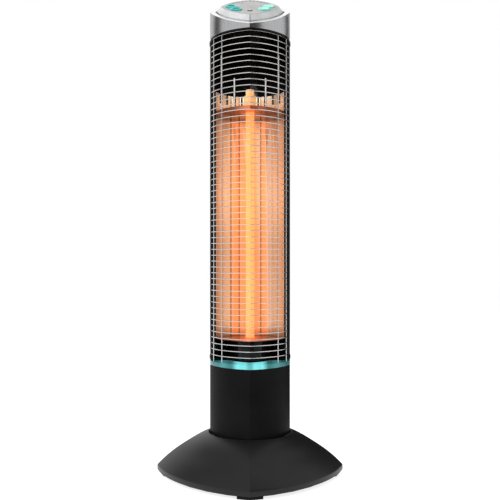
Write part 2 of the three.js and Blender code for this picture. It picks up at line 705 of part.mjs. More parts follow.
// A bent steel stand that carries the motor on the bottom plate.
function motorBracket() {
  const top = motorBottom - SEAT;
  const bottom = plateTop + SEAT;
  const outline = [
    [-BRACKET_WIDTH / 2 - BRACKET_FOOT, bottom],
    [-BRACKET_WIDTH / 2 + BRACKET_SHEET, bottom],
    [-BRACKET_WIDTH / 2 + BRACKET_SHEET, top - BRACKET_SHEET],
    [BRACKET_WIDTH / 2 - BRACKET_SHEET, top - BRACKET_SHEET],
    [BRACKET_WIDTH / 2 - BRACKET_SHEET, bottom],
    [BRACKET_WIDTH / 2 + BRACKET_FOOT, bottom],
    [BRACKET_WIDTH / 2 + BRACKET_FOOT, bottom + BRACKET_SHEET],
    [BRACKET_WIDTH / 2, bottom + BRACKET_SHEET],
    [BRACKET_WIDTH / 2, top],
    [-BRACKET_WIDTH / 2, top],
    [-BRACKET_WIDTH / 2, bottom + BRACKET_SHEET],
    [-BRACKET_WIDTH / 2 - BRACKET_FOOT, bottom + BRACKET_SHEET],
  ].map(([x, y]) => new THREE.Vector2(x, y));
  const geometry = new THREE.ExtrudeGeometry(new THREE.Shape(outline), {
    depth: BRACKET_WIDTH,
    bevelEnabled: false,
  });
  return solid(geometry.translate(0, 0, -BRACKET_WIDTH / 2).rotateX(Math.PI / 2));
}

function retainingRing() {
  const top = gearBottom - SEAT;
  const inner = SPINDLE_RADIUS + SEAT;
  return ring(inner, inner + CLIP_RING_WIDTH, top - CLIP_RING_THICKNESS, top);
}

function bearingRing() {
  const top = bearingBottom + BEARING_HEIGHT;
  return ring(BEARING_INNER_RADIUS, BEARING_OUTER_RADIUS, bearingBottom, top);
}

// ---------------------------------------------------------------- the lower column

const columnInside = COLUMN_HALF_WIDTH - HOUSING_WALL;

function boardCorners(make) {
  const x = BOARD_SIZE[0] / 2 - BOARD_POST_INSET;
  const y = BOARD_SIZE[1] / 2 - BOARD_POST_INSET;
  return [[x, y], [-x, y], [-x, -y], [x, -y]].map(make);
}

// The disc that closes the column's lower end, with the hollow spindle and the board's posts.
function columnFoot() {
  const disc = column(columnInside - SEAT, columnBottom, columnFootTop);
  const spindle = cylinder(SPINDLE_RADIUS, spindleBottom, columnBottom + OVERLAP);
  const bore = hole(SPINDLE_BORE, spindleBottom, columnFootTop);
  const postBottom = columnFootTop - OVERLAP;
  const posts = boardCorners((place) =>
    cylinder(BOARD_POST_RADIUS, postBottom, boardBottom - SEAT, place, SMALL_ROUND_STEPS),
  );
  const holes = [-1, 1].map((side) =>
    smallHole(screwHole, columnBottom, columnFootTop, [side * FOOT_SCREW_PLACE, 0]),
  );
  return cut(join(disc, spindle, ...posts), bore, ...holes);
}

function lowerHousing() {
  const edge = LOWER_EDGE_RADIUS;
  const outside = [[COLUMN_HALF_WIDTH, lowerHousingTop]];
  for (let step = 0; step <= LOWER_EDGE_STEPS; step++) {
    const angle = (step * Math.PI) / (2 * LOWER_EDGE_STEPS);
    outside.push([
      COLUMN_HALF_WIDTH - edge * (1 - Math.cos(angle)),
      columnBottom + edge * (1 - Math.sin(angle)),
    ]);
  }
  const stations = [...outside, [columnInside, columnBottom], [columnInside, lowerHousingTop]];
  const rings = stations.reverse().map(([halfWidth, z]) => levelRing(section(halfWidth), z));
  const shell = solid(loft(rings, true));
  const bottom = columnFootTop + SEAT;
  const reach = columnInside + HOUSING_WALL / 2 - FOOT_SCREW_PLACE + SCREW_HEAD_RADIUS;
  const middle = columnInside + HOUSING_WALL / 2 - reach / 2;
  const size = [reach, 2 * SCREW_HEAD_RADIUS, FOOT_SCREW_POST_HEIGHT];
  const posts = [-1, 1].map((side) => block(size, [side * middle, 0, bottom]));
  const pilots = [-1, 1].map((side) => {
    const place = [side * FOOT_SCREW_PLACE, 0];
    return smallHole(screwHole, bottom, columnBottom + SCREW_LENGTH, place);
  });
  return cut(join(shell, ...posts), ...pilots);
}

function powerBoard() {
  return block([...BOARD_SIZE, BOARD_THICKNESS], [0, 0, boardBottom]);
}

function onBoard(size, [x, y]) {
  return block(size, [x, y, boardTop + SEAT]);
}

function transformer() {
  const [x, y] = TRANSFORMER_PLACE;
  const lift = (TRANSFORMER_CORE[2] - TRANSFORMER_COIL[2]) / 2;
  const coil = block(TRANSFORMER_COIL, [x, y, boardTop + SEAT + lift]);
  return join(onBoard(TRANSFORMER_CORE, TRANSFORMER_PLACE), coil);
}

function heatSink() {
  const [width, depth, height] = SINK_SIZE;
  const [x, y] = SINK_PLACE;
  const back = block([width, SINK_BASE, height], [x, y + depth / 2, boardTop + SEAT]);
  const fins = [];
  for (let i = 0; i < SINK_FINS; i++) {
    const offset = ((width - SINK_FIN_THICKNESS) * i) / (SINK_FINS - 1);
    const finX = x - width / 2 + SINK_FIN_THICKNESS / 2 + offset;
    fins.push(block([SINK_FIN_THICKNESS, depth, height], [finX, y, boardTop + SEAT]));
  }
  return join(back, ...fins);
}

const ledBoardTop = ringBottom - LIGHT_RING_LEG_HEIGHT - SEAT;

function leadHole(bottom, top) {
  return smallHole(LEAD_HOLE_RADIUS, bottom, top, LEAD_PLACE);
}

// A ring-shaped board with lights on it that shine up into the light ring.
function ledBoard() {
  const bottom = ledBoardTop - BOARD_THICKNESS;
  const board = cut(
    column(LED_BOARD_OUTER, bottom, ledBoardTop),
    opening(LED_BOARD_INNER, bottom, ledBoardTop),
    leadHole(bottom, ledBoardTop),
  );
  const [width, depth, height] = LED_SIZE;
  const lights = section((LED_BOARD_OUTER + LED_BOARD_INNER) / 2)
    .filter((point, i) => LED_FACETS.includes(i % SIDE_STEPS))
    .map(({ x, y }) => block([width, depth, BOARD_THICKNESS + height], [x, y, bottom]));
  return join(board, ...lights);
}

function lightRing() {
  const plate = cut(
    column(COLUMN_HALF_WIDTH, ringBottom, ringTop),
    opening(LIGHT_RING_OPENING, ringBottom, ringTop),
    leadHole(ringBottom, ringTop),
  );
  const legs = aroundFour(LIGHT_RING_LEG_PLACE, 0, (place) => {
    const bottom = ringBottom - LIGHT_RING_LEG_HEIGHT;
    const top = ringBottom + OVERLAP;
    return cylinder(LIGHT_RING_LEG_RADIUS, bottom, top, place, SMALL_ROUND_STEPS);
  });
  return join(plate, ...legs);
}

// ---------------------------------------------------------------- the heating chamber

function pedestal() {
  const body = column(PEDESTAL_HALF_WIDTH, chamberBottom, pedestalTop);
  return cut(body, hole(CAP_RADIUS + SEAT, chamberBottom, pedestalTop));
}

const tubeHole = TUBE_RADIUS + SEAT;

function bottomPlate() {
  const sheet = column(CHAMBER_PLATE_HALF_WIDTH, bottomPlateBottom, bottomPlateTop);
  const reach = 2 * CHAMBER_PLATE_HALF_WIDTH;
  const size = [reach, reach, CHAMBER_PLATE_SHEET + 2 * OVERLAP];
  const behind = block(size, [0, BOTTOM_PLATE_BACK + reach / 2, bottomPlateBottom - OVERLAP]);
  return cut(sheet, behind, hole(tubeHole, bottomPlateBottom, bottomPlateTop));
}

// The reflector's folds from left to right, moved off the sheet's middle by an offset.
function reflectorLine(offset) {
  const right = REFLECTOR_FOLDS.map(([x, y]) => new THREE.Vector2(x, y));
  const left = right.map((point) => new THREE.Vector2(-point.x, point.y)).reverse();
  const line = [...left, ...right];
  const normals = line.slice(1).map((point, i) => {
    const along = point.clone().sub(line[i]).normalize();
    return new THREE.Vector2(-along.y, along.x);
  });
  return line.map((point, i) => {
    const before = normals[Math.max(i - 1, 0)];
    const after = normals[Math.min(i, normals.length - 1)];
    const mitre = before.clone().add(after).normalize();
    return point.clone().addScaledVector(mitre, offset / mitre.dot(before));
  });
}

function reflectorSheet(bottom, top) {
  const outline = [
    ...reflectorLine(-REFLECTOR_SHEET / 2),
    ...reflectorLine(REFLECTOR_SHEET / 2).reverse(),
  ];
  return prism(outline, bottom, top);
}

function reflector() {
  const slots = [];
  for (const place of REFLECTOR_SLOT_PLACES) {
    for (const side of [-1, 1]) {
      const bottom = reflectorTop - REFLECTOR_SLOT_DEPTH;
      const size = [REFLECTOR_SLOT_WIDTH, COLUMN_HALF_WIDTH, REFLECTOR_SLOT_DEPTH + OVERLAP];
      slots.push(block(size, [side * place, COLUMN_HALF_WIDTH / 2, bottom]));
    }
  }
  return cut(reflectorSheet(reflectorBottom, reflectorTop), ...slots);
}

// The space in front of the reflector, clear of its sheet.
function troughSpace(bottom, top) {
  const wall = reflectorLine(-REFLECTOR_SHEET / 2 - SEAT);
  const reach = 2 * CHAMBER_PLATE_HALF_WIDTH;
  const outline = [
    ...wall,
    new THREE.Vector2(reach, wall.at(-1).y),
    new THREE.Vector2(reach, -reach),
    new THREE.Vector2(-reach, -reach),
    new THREE.Vector2(-reach, wall[0].y),
  ];
  return prism(outline, bottom, top);
}

function topPlate() {
  const bottom = topPlateTop - TOP_PLATE_FLANGE;
  const tray = cut(
    column(CHAMBER_PLATE_HALF_WIDTH, bottom, topPlateTop),
    column(
      CHAMBER_PLATE_HALF_WIDTH - CHAMBER_PLATE_SHEET,
      bottom - OVERLAP,
      topPlateTop - CHAMBER_PLATE_SHEET,
    ),
    hole(tubeHole, bottom, topPlateTop),
  );
  return tray.intersect(troughSpace(bottom - OVERLAP, topPlateTop + OVERLAP));
}

function quartzTube() {
  return ring(TUBE_RADIUS - TUBE_WALL, TUBE_RADIUS, tubeBottom, tubeTop);
}

const pinHole = FILAMENT_PIN_RADIUS + SEAT;

function lowerCap() {
  const body = cylinder(CAP_RADIUS, lowerCapTop - LOWER_CAP_LENGTH, lowerCapTop);
  const socket = cylinder(tubeHole, tubeBottom - SEAT, lowerCapTop + OVERLAP);
  const pin = smallHole(pinHole, tubeBottom - FILAMENT_PIN_LENGTH, tubeBottom);
  return cut(body, socket, pin);
}

function upperCap() {
  const step = upperCapBottom + UPPER_CAP_WIDE_HEIGHT;
  const wide = cylinder(CAP_RADIUS, upperCapBottom, step);
  const narrowTop = step + UPPER_CAP_NARROW_HEIGHT;
  const narrow = cylinder(UPPER_CAP_NARROW_RADIUS, step - OVERLAP, narrowTop);
  const socket = cylinder(tubeHole, upperCapBottom - OVERLAP, tubeTop + SEAT);
  const pin = smallHole(pinHole, tubeTop, tubeTop + FILAMENT_PIN_LENGTH);
  return cut(join(wide, narrow), socket, pin);
}

// A flat carbon ribbon, twisted clockwise up its length, with a round pin at each end.
function filament() {
  const rings = [];
  for (let step = 0; step <= FILAMENT_STEPS; step++) {
    const share = step / FILAMENT_STEPS;
    const z = THREE.MathUtils.lerp(tubeBottom, tubeTop, share);
    const angle = -2 * Math.PI * FILAMENT_TURNS * share;
    const corners = [[-1, -1], [1, -1], [1, 1], [-1, 1]];
    const points = corners.map(([across, through]) => {
      const x = (across * FILAMENT_WIDTH) / 2;
      const y = (through * FILAMENT_THICKNESS) / 2;
      return new THREE.Vector2(x, y).rotateAround(new THREE.Vector2(), angle);
    });
    rings.push(levelRing(points, z));
  }
  const pins = [
    [tubeBottom - FILAMENT_PIN_LENGTH, tubeBottom + FILAMENT_PIN_GRIP],
    [tubeTop - FILAMENT_PIN_GRIP, tubeTop + FILAMENT_PIN_LENGTH],
  ].map(([lower, upper]) =>
    cylinder(FILAMENT_PIN_RADIUS, lower, upper, [0, 0], SMALL_ROUND_STEPS),
  );
  return join(solid(loft(rings, false)), ...pins);
}

const reflectorBack = REFLECTOR_FOLDS[0][1] + REFLECTOR_SHEET / 2;

function reflectorBracket() {
  const front = reflectorBack + SEAT;
  const [width, height] = REFLECTOR_BRACKET_SIZE;
  const bottom = bottomPlateTop + REFLECTOR_BRACKET_HEIGHT;
  const sheet = REFLECTOR_BRACKET_SHEET;
  const plate = block([width, sheet, height], [0, front + sheet / 2, bottom]);
  const length = COLUMN_HALF_WIDTH - front;
  const rib = block([2 * sheet, length, height], [0, front + length / 2, bottom]);
  const inside = opening(columnInside - SEAT, bottom, bottom + height);
  return join(plate, rib).intersect(inside);
}

function thermalCutout() {
  const front = reflectorBack + SEAT;
  const height = bottomPlateTop + CUTOUT_HEIGHT;
  return cylinderAlongY(CUTOUT_RADIUS, front, front + CUTOUT_LENGTH, 0, height);
}

// An insulated lead along a smooth curve through the points.
function lead(points, steps) {
  const corners = [];
  for (let i = 0; i < LEAD_SIDES; i++) {
    const angle = (i * 2 * Math.PI) / LEAD_SIDES;
    corners.push(new THREE.Vector2(Math.cos(angle), Math.sin(angle)).multiplyScalar(LEAD_RADIUS));
  }
  const path = new THREE.CatmullRomCurve3(points.map((point) => new THREE.Vector3(...point)));
  return solid(
    new THREE.ExtrudeGeometry(new THREE.Shape(corners), {
      extrudePath: path,
      steps,
      bevelEnabled: false,
    }),
  );
}

const terminalTop = boardTop + SEAT + TERMINAL_SIZE[2];

function lowerLead() {
  const top = lowerCapTop - LOWER_CAP_LENGTH - SEAT;
  const x = TERMINAL_PLACE[0] - TERMINAL_SIZE[0] / 3;
  const y = TERMINAL_PLACE[1];
  const bottom = terminalTop + SEAT;
  return lead(
    [
      [0, 0, top],
      [0, 0, top - LEAD_BEND],
      [x / 2, y / 2, (top + bottom) / 2],
      [x, y, bottom + LEAD_BEND],
      [x, y, bottom],
    ],
    14,
  );
}

function upperLead() {
  const start = upperCapBottom + UPPER_CAP_WIDE_HEIGHT + UPPER_CAP_NARROW_HEIGHT / 2;
  const over = reflectorTop + LEAD_CROSSING;
  const [x, y] = LEAD_PLACE;
  const endX = TERMINAL_PLACE[0] + TERMINAL_SIZE[0] / 3;
  const endY = TERMINAL_PLACE[1];
  const bottom = terminalTop + SEAT;
  return lead(
    [
      [0, UPPER_CAP_NARROW_RADIUS + SEAT, start],
      [0, 2 * UPPER_CAP_NARROW_RADIUS, start],
      [x / 3, reflectorBack - LEAD_RADIUS, over],
      [x, y - LEAD_RADIUS, over - LEAD_RADIUS],
      [x, y, over - LEAD_BEND],
      [x, y, (over + ringBottom) / 2],
      [x, y, ringTop],
      [x, y, ledBoardTop - LEAD_BEND / 2],
      [x, y - LEAD_RADIUS, ledBoardTop - LEAD_BEND],
      [endX, (y + endY) / 2, (ledBoardTop + bottom) / 2],
      [endX, endY, bottom + LEAD_BEND],
      [endX, endY, bottom],
    ],
    32,
  );
}

// ---------------------------------------------------------------- the rear housing and grille

// A block across one of the two rear sides, cut through its wall.
function ventSlot(side, bottom) {
  const distance = COLUMN_HALF_WIDTH * (Math.SQRT1_2 + SIDE_BULGE);
  const size = [VENT_WIDTH, VENT_WIDTH / 2, VENT_SLOT_HEIGHT];
  const geometry = blockGeometry(size, [0, distance, bottom]);
  return solid(geometry.rotateZ((side * Math.PI) / 4));
}

// A slice of the column's wall at one side corner, between two half-widths.
function cornerSlice(side, inner, outer, reach, bottom, top) {
  const slice = cut(column(outer, bottom, top), opening(inner, bottom, top));
  const size = [COLUMN_HALF_WIDTH, 2 * reach, top - bottom + 2 * OVERLAP];
  return slice.intersect(block(size, [side * COLUMN_HALF_WIDTH, 0, bottom - OVERLAP]));
}

const clipLevels = {
  upper: chamberTop - UPPER_CLIP_DROP - CLIP_HEIGHT,
  lower: chamberBottom + LOWER_CLIP_RISE,
};

function cornerClip(side, bottom) {
  const inner = COLUMN_HALF_WIDTH - CLIP_DEPTH + SEAT;
  const outer = COLUMN_HALF_WIDTH + CLIP_PROUD;
  return cornerSlice(side, inner, outer, CLIP_REACH, bottom, bottom + CLIP_HEIGHT);
}

function ventSlots(side) {
  const highest = reflectorTop - VENT_MARGIN - VENT_SLOT_HEIGHT;
  const lowest = reflectorBottom + VENT_MARGIN;
  const slots = [];
  for (let i = 0; i < UPPER_VENTS; i++) {
    slots.push(ventSlot(side, highest - VENT_PITCH * i));
  }
  for (let i = 0; i < LOWER_VENTS; i++) {
    slots.push(ventSlot(side, lowest + VENT_PITCH * i));
  }
  return slots;
}

// The rebates that the corner clips lie in.
function clipRebates(side) {
  const inner = COLUMN_HALF_WIDTH - CLIP_DEPTH;
  const outer = COLUMN_HALF_WIDTH + OVERLAP;
  const reach = CLIP_REACH + SEAT;
  return Object.values(clipLevels).map((level) =>
    cornerSlice(side, inner, outer, reach, level - SEAT, level + CLIP_HEIGHT + SEAT),
  );
}

function rearHousing() {
  const wall = cut(
    column(COLUMN_HALF_WIDTH, chamberBottom, chamberTop),
    opening(columnInside, chamberBottom, chamberTop),
  );
  const reach = 4 * COLUMN_HALF_WIDTH;
  const size = [reach, reach, CHAMBER_HEIGHT + 2 * OVERLAP];
  const rear = block(size, [0, reach / 2 - POST_WRAP, chamberBottom - OVERLAP]);
  const openings = [-1, 1].flatMap((side) => [...ventSlots(side), ...clipRebates(side)]);
  return cut(wall.intersect(rear), ...openings);
}

// The grille's plan line, from the left post round the front ridge to the right post.
function grilleLine() {
  const radius = (WIRE_HALF_WIDTH * (0.5 + SIDE_BULGE ** 2)) / (2 * SIDE_BULGE);
  const halfAngle = Math.asin((WIRE_HALF_WIDTH * Math.SQRT1_2) / radius);
  const setBack = (radius - WIRE_HALF_WIDTH * (Math.SQRT1_2 + SIDE_BULGE)) * Math.SQRT1_2;
  const postY = -(POST_WRAP + WIRE_SIZE / 2);
  const startAngle = Math.asin((postY - setBack) / radius);
  const endAngle = -Math.PI / 4 - halfAngle;
  const right = [];
  for (let step = 0; step <= WIRE_STEPS; step++) {
    const angle = THREE.MathUtils.lerp(startAngle, endAngle, step / WIRE_STEPS);
    const x = radius * Math.cos(angle) - setBack;
    const y = radius * Math.sin(angle) + setBack;
    right.push(new THREE.Vector2(step === WIRE_STEPS ? 0 : x, y));
  }
  const left = right.slice(0, -1).map((point) => new THREE.Vector2(-point.x, point.y));
  return [...left, ...right.reverse()];
}

// The line's points moved outwards (or inwards, if negative), square to the line.
function movedLine(line, offset) {
  const normals = line.slice(1).map((point, i) => {
    const along = point.clone().sub(line[i]).normalize();
    return new THREE.Vector2(along.y, -along.x);
  });
  return line.map((point, i) => {
    const before = normals[Math.max(i - 1, 0)];
    const after = normals[Math.min(i, normals.length - 1)];
    const mitre = before.clone().add(after).normalize();
    return point.clone().addScaledVector(mitre, offset / mitre.dot(before));
  });
}

function crossWire(line, z) {
  const half = WIRE_SIZE / 2;
  const outer = movedLine(line, half);
  const inner = movedLine(line, -half);
  const rings = line.map((point, i) => [
    new THREE.Vector3(inner[i].x, inner[i].y, z - half),
    new THREE.Vector3(inner[i].x, inner[i].y, z + half),
    new THREE.Vector3(outer[i].x, outer[i].y, z + half),
    new THREE.Vector3(outer[i].x, outer[i].y, z - half),
  ]);
  return solid(loft(rings, false));
}

// An upright wire, welded behind the cross wires at a place along X.
function uprightWire(line, x) {
  const after = line.findIndex((point, i) => i > 0 && point.x >= x);
  const from = line[after - 1];
  const to = line[after];
  const place = from.clone().lerp(to, (x - from.x) / (to.x - from.x));
  const along = to.clone().sub(from).normalize();
  const inward = new THREE.Vector2(-along.y, along.x);
  place.addScaledVector(inward, WIRE_SIZE - WELD_DEPTH);
  const side = WIRE_SIZE * Math.SQRT1_2;
  const bar = new THREE.BoxGeometry(side, side, CHAMBER_HEIGHT);
  bar.rotateZ(along.angle() + Math.PI / 4);
  return solid(bar.translate(place.x, place.y, (chamberBottom + chamberTop) / 2));
}

function frontGrille() {
  const line = grilleLine();
  const lowest = chamberBottom + LOWEST_WIRE;
  const highest = chamberTop - WIRE_SIZE / 2;
  let grille = join(...UPRIGHT_PLACES.map((x) => uprightWire(line, x)));
  for (let i = 0; i < WIRE_COUNT; i++) {
    const z = THREE.MathUtils.lerp(lowest, highest, i / (WIRE_COUNT - 1));
    grille = grille.add(crossWire(line, z));
  }
  return grille;
}

// ---------------------------------------------------------------- the head

// Pieces of the sloping top are shaped flat, in the plane of the slanted rim, and then tilted.
const slopeStretch = 1 / Math.cos(PANEL_TILT);
const tilt = new THREE.Matrix4()
  .makeTranslation(0, 0, rimOnAxis)
  .multiply(new THREE.Matrix4().makeRotationX(PANEL_TILT));

function sloped(halfWidth) {
  return section(halfWidth, slopeStretch);
}

function slopedPrism(halfWidth, bottom, top) {
  return prism(sloped(halfWidth), bottom, top);
}

function tiltedSolid(geometry) {
  return solid(geometry.clone().applyMatrix4(tilt));
}

function extruded(points, bottom, top) {
  const options = { depth: top - bottom, bevelEnabled: false };
  return new THREE.ExtrudeGeometry(new THREE.Shape(points), options).translate(0, 0, bottom);
}

function headFloor() {
  const floor = column(COLUMN_HALF_WIDTH - HEAD_FLOOR_INSET, headFloorBottom, headFloorTop);
  const [x, y] = HEAD_SCREW_PLACE;
  const holes = [-x, x].map((place) =>
    smallHole(screwHole, headFloorBottom, headFloorTop, [place, y]),
  );
  const wiring = hole(WIRING_HOLE_RADIUS, headFloorBottom, headFloorTop, WIRING_HOLE_PLACE);
  return cut(floor, ...holes, wiring);
}

// All the space above a plane that lies parallel to the slanted rim.
function aboveSlope(height) {
  const reach = 4 * COLUMN_HALF_WIDTH;
  return tiltedSolid(blockGeometry([reach, reach, reach], [0, 0, height]));
}

function headShell() {
  const high = rimOnAxis + COLUMN_HALF_WIDTH;
  const hollow = cut(
    column(COLUMN_HALF_WIDTH - HEAD_WALL, headBottom - OVERLAP, high),
    aboveSlope(-LIP_THICKNESS),
  );
  const mouth = tiltedSolid(extruded(sloped(LIP_OPENING), -LIP_THICKNESS - OVERLAP, OVERLAP));
  const shell = cut(column(COLUMN_HALF_WIDTH, headBottom, high), aboveSlope(0), hollow, mouth);
  return cut(join(shell, headPost(-1), headPost(1)), headPilot(-1), headPilot(1));
}

// A screw post inside the head, held to the shell's front wall by a rib.
function headPost(side) {
  const [x, y] = [side * HEAD_SCREW_PLACE[0], HEAD_SCREW_PLACE[1]];
  const post = cylinder(HEAD_POST_RADIUS, headBottom, headBottom + HEAD_POST_HEIGHT, [x, y]);
  const wall = (COLUMN_HALF_WIDTH - HEAD_WALL / 2) * (Math.SQRT1_2 + SIDE_BULGE);
  const length = wall - (HEAD_SCREW_PLACE[0] - HEAD_SCREW_PLACE[1]) * Math.SQRT1_2;
  const rib = blockGeometry([HEAD_RIB, length, HEAD_RIB_HEIGHT], [0, -length / 2, headBottom]);
  return join(post, solid(rib.rotateZ((side * Math.PI) / 4).translate(x, y, 0)));
}

function headPilot(side) {
  const place = [side * HEAD_SCREW_PLACE[0], HEAD_SCREW_PLACE[1]];
  return smallHole(screwHole, headBottom, headFloorBottom + SCREW_LENGTH, place);
}

const bezelHalfWidth = LIP_OPENING - BEZEL_SEAM;
const panelBottom = BEZEL_RISE - PANEL_THICKNESS;
const controlBoardTop = BEZEL_RISE - CONTROL_BOARD_DROP;
const tactTop = controlBoardTop + TACT_HEIGHT;

// The sloping frame that carries the panel and is held under the head's lip.
function headBezel() {
  const inside = bezelHalfWidth - BEZEL_WALL;
  const recess = PANEL_HALF_WIDTH + SEAT;
  const ledgeTop = panelBottom - SEAT;
  const ledgeBottom = ledgeTop - PANEL_THICKNESS;
  const flangeTop = -LIP_THICKNESS - SEAT;
  const flangeBottom = flangeTop - BEZEL_FLANGE_THICKNESS;
  const flange = bezelHalfWidth + BEZEL_FLANGE_WIDTH;
  const stations = [
    [inside, flangeBottom],
    [flange, flangeBottom],
    [flange, flangeTop],
    [bezelHalfWidth, flangeTop],
    [bezelHalfWidth, BEZEL_CHAMFER_START],
    [recess, BEZEL_RISE],
    [recess, ledgeTop],
    [recess - BEZEL_LEDGE, ledgeTop],
    [recess - BEZEL_LEDGE, ledgeBottom],
    [recess, ledgeBottom],
    [inside, controlBoardTop + SEAT],
  ];
  const rings = stations.map(([halfWidth, height]) => levelRing(sloped(halfWidth), height));
  return tiltedSolid(loft(rings, true));
}

// Places of the small marks: along the two rear edges of the panel, evenly spaced.
function markPlaces() {
  const edge = sloped(PANEL_HALF_WIDTH - MARK_INSET).slice(0, 2 * SIDE_STEPS + 1);
  const curve = new THREE.CatmullRomCurve3(levelRing(edge, 0));
  const count = 2 * MARKS_PER_SIDE + 1;
  const places = [];
  for (let i = 0; i < count; i++) {
    const share = THREE.MathUtils.lerp(MARKS_START, 1 - MARKS_START, i / (count - 1));
    places.push({ at: curve.getPointAt(share), along: curve.getTangentAt(share) });
  }
  return places;
}

function controlPanel() {
  const plate = slopedPrism(PANEL_HALF_WIDTH, panelBottom, BEZEL_RISE);
  const holes = Object.values(BUTTON_PLACES).map((place) =>
    hole(BUTTON_RADIUS + SEAT, panelBottom, BEZEL_RISE, place),
  );
  const windowHole = hole(WINDOW_RADIUS + SEAT, panelBottom, BEZEL_RISE, WINDOW_PLACE);
  const marks = markPlaces().map(({ at, along }) => {
    const size = [...MARK_SIZE, MARK_DEPTH + OVERLAP];
    const pocket = blockGeometry(size, [0, 0, BEZEL_RISE - MARK_DEPTH]);
    pocket.rotateZ(Math.atan2(along.y, along.x));
    return solid(pocket.translate(at.x, at.y, 0));
  });
  return cut(plate, ...holes, windowHole, ...marks);
}

function button([x, y]) {
  const flangeTop = panelBottom - SEAT;
  const flangeBottom = flangeTop - BUTTON_FLANGE_THICKNESS;
  const top = BEZEL_RISE + BUTTON_PROUD;
  const stemBottom = tactTop + BUTTON_TRAVEL + SEAT;
  const profile = [
    [0, stemBottom],
    [BUTTON_STEM_RADIUS, stemBottom],
    [BUTTON_STEM_RADIUS, flangeBottom],
    [BUTTON_RADIUS + BUTTON_FLANGE, flangeBottom],
    [BUTTON_RADIUS + BUTTON_FLANGE, flangeTop],
    [BUTTON_RADIUS, flangeTop],
    [BUTTON_RADIUS, top - BUTTON_EDGE],
    [BUTTON_RADIUS - BUTTON_EDGE, top - BUTTON_CROWN],
    [0, top],
  ];
  return solid(turned(profile, BUTTON_STEPS).translate(x, y, 0));
}

function receiverWindow() {
  const [x, y] = WINDOW_PLACE;
  const top = BEZEL_RISE + WINDOW_PROUD;
  const profile = [
    [0, controlBoardTop + SEAT],
    [WINDOW_RADIUS - WINDOW_SHOULDER, controlBoardTop + SEAT],
    [WINDOW_RADIUS - WINDOW_SHOULDER, panelBottom - SEAT],
    [WINDOW_RADIUS, panelBottom - SEAT],
    [WINDOW_RADIUS, top - WINDOW_EDGE],
    [WINDOW_RADIUS - WINDOW_EDGE, top],
    [0, top],
  ];
  return solid(turned(profile).translate(x, y, 0));
}

function controlBoard() {
  const bottom = controlBoardTop - BOARD_THICKNESS;
  const halfWidth = bezelHalfWidth - BEZEL_WALL - SEAT;
  const board = slopedPrism(halfWidth, bottom, controlBoardTop);
  const switches = Object.values(BUTTON_PLACES).map(([x, y]) =>
    block([TACT_SIZE, TACT_SIZE, tactTop - bottom], [x, y, bottom]),
  );
  return join(board, ...switches);
}

// ---------------------------------------------------------------- materials

const finishes = {
  satinBlack: { color: 0x1d1d1f, roughness: 0.42, metalness: 0 },
  glossBlack: { color: 0x0e0e10, roughness: 0.12, metalness: 0 },
  rubber: { color: 0x2a2a2c, roughness: 0.85, metalness: 0 },
  silver: { color: 0xa9abae, roughness: 0.3, metalness: 0.9 },
  lightGrey: { color: 0xc4c5c6, roughness: 0.35, metalness: 0.3 },
  midGrey: { color: 0x8e9092, roughness: 0.4, metalness: 0.2 },
  teal: { color: 0x23b5b0, roughness: 0.2, metalness: 0 },
  mint: { color: 0x9fe6cf, roughness: 0.25, metalness: 0 },
  chrome: { color: 0xdfe0e2, roughness: 0.1, metalness: 1 },
  polished: { color: 0xd9b08a, roughness: 0.18, metalness: 1 },
  steel: { color: 0x7d7f82, roughness: 0.4, metalness: 0.9 },
  paintedSteel: { color: 0x232325, roughness: 0.5, metalness: 0.4 },
  quartz: { color: 0xffc98a, roughness: 0.2, metalness: 0 },
  glowing: { color: 0xffb060, roughness: 0.6, metalness: 0 },
  ceramic: { color: 0xe6c08a, roughness: 0.6, metalness: 0 },
  board: { color: 0x1f5a37, roughness: 0.6, metalness: 0 },
  natural: { color: 0xe8e6df, roughness: 0.5, metalness: 0 },
  copper: { color: 0xb5693a, roughness: 0.4, metalness: 0.8 },
  aluminium: { color: 0xb8babd, roughness: 0.35, metalness: 0.9 },
  smoked: { color: 0x101012, roughness: 0.1, metalness: 0 },
};

// ---------------------------------------------------------------- assembly

const heater = new THREE.Group();
const base = new THREE.Group();
const tower = new THREE.Group();
const drive = new THREE.Group();
const slopedTop = new THREE.Group();
heater.add(base, tower);
base.add(drive);
tower.add(slopedTop);
drive.position.set(0, pinionDistance, 0);
slopedTop.position.set(0, 0, rimOnAxis);
slopedTop.rotation.x = PANEL_TILT;

function place(group, name, shape, finish) {
  const mesh = new THREE.Mesh(geometryOf(shape), new THREE.MeshStandardMaterial(finishes[finish]));
  mesh.name = name;
  group.add(mesh);
}

place(base, "base_plate", basePlate(), "paintedSteel");
place(base, "base_shell", baseShell(), "satinBlack");
["right", "rear", "left", "front"].forEach((corner, quarter) => {
  place(base, `foot_${corner}`, cornerFoot(quarter), "rubber");
});
aroundFour(shellPostPlace, Math.PI / 4, ([x, y], quarter) => {
  place(base, `base_screw_${quarter + 1}`, screw([x, y, plateBottom - SEAT]), "steel");
});
place(base, "cable_inlet", cableInlet(), "rubber");
place(base, "tip_switch", tipSwitch(), "natural");
place(base, "tip_plunger", tipPlunger(), "natural");
place(base, "bearing_ring", bearingRing(), "natural");
place(drive, "motor_bracket", motorBracket(), "steel");
place(drive, "swivel_motor", swivelMotor(), "steel");
place(drive, "motor_pinion", motorPinion(), "natural");

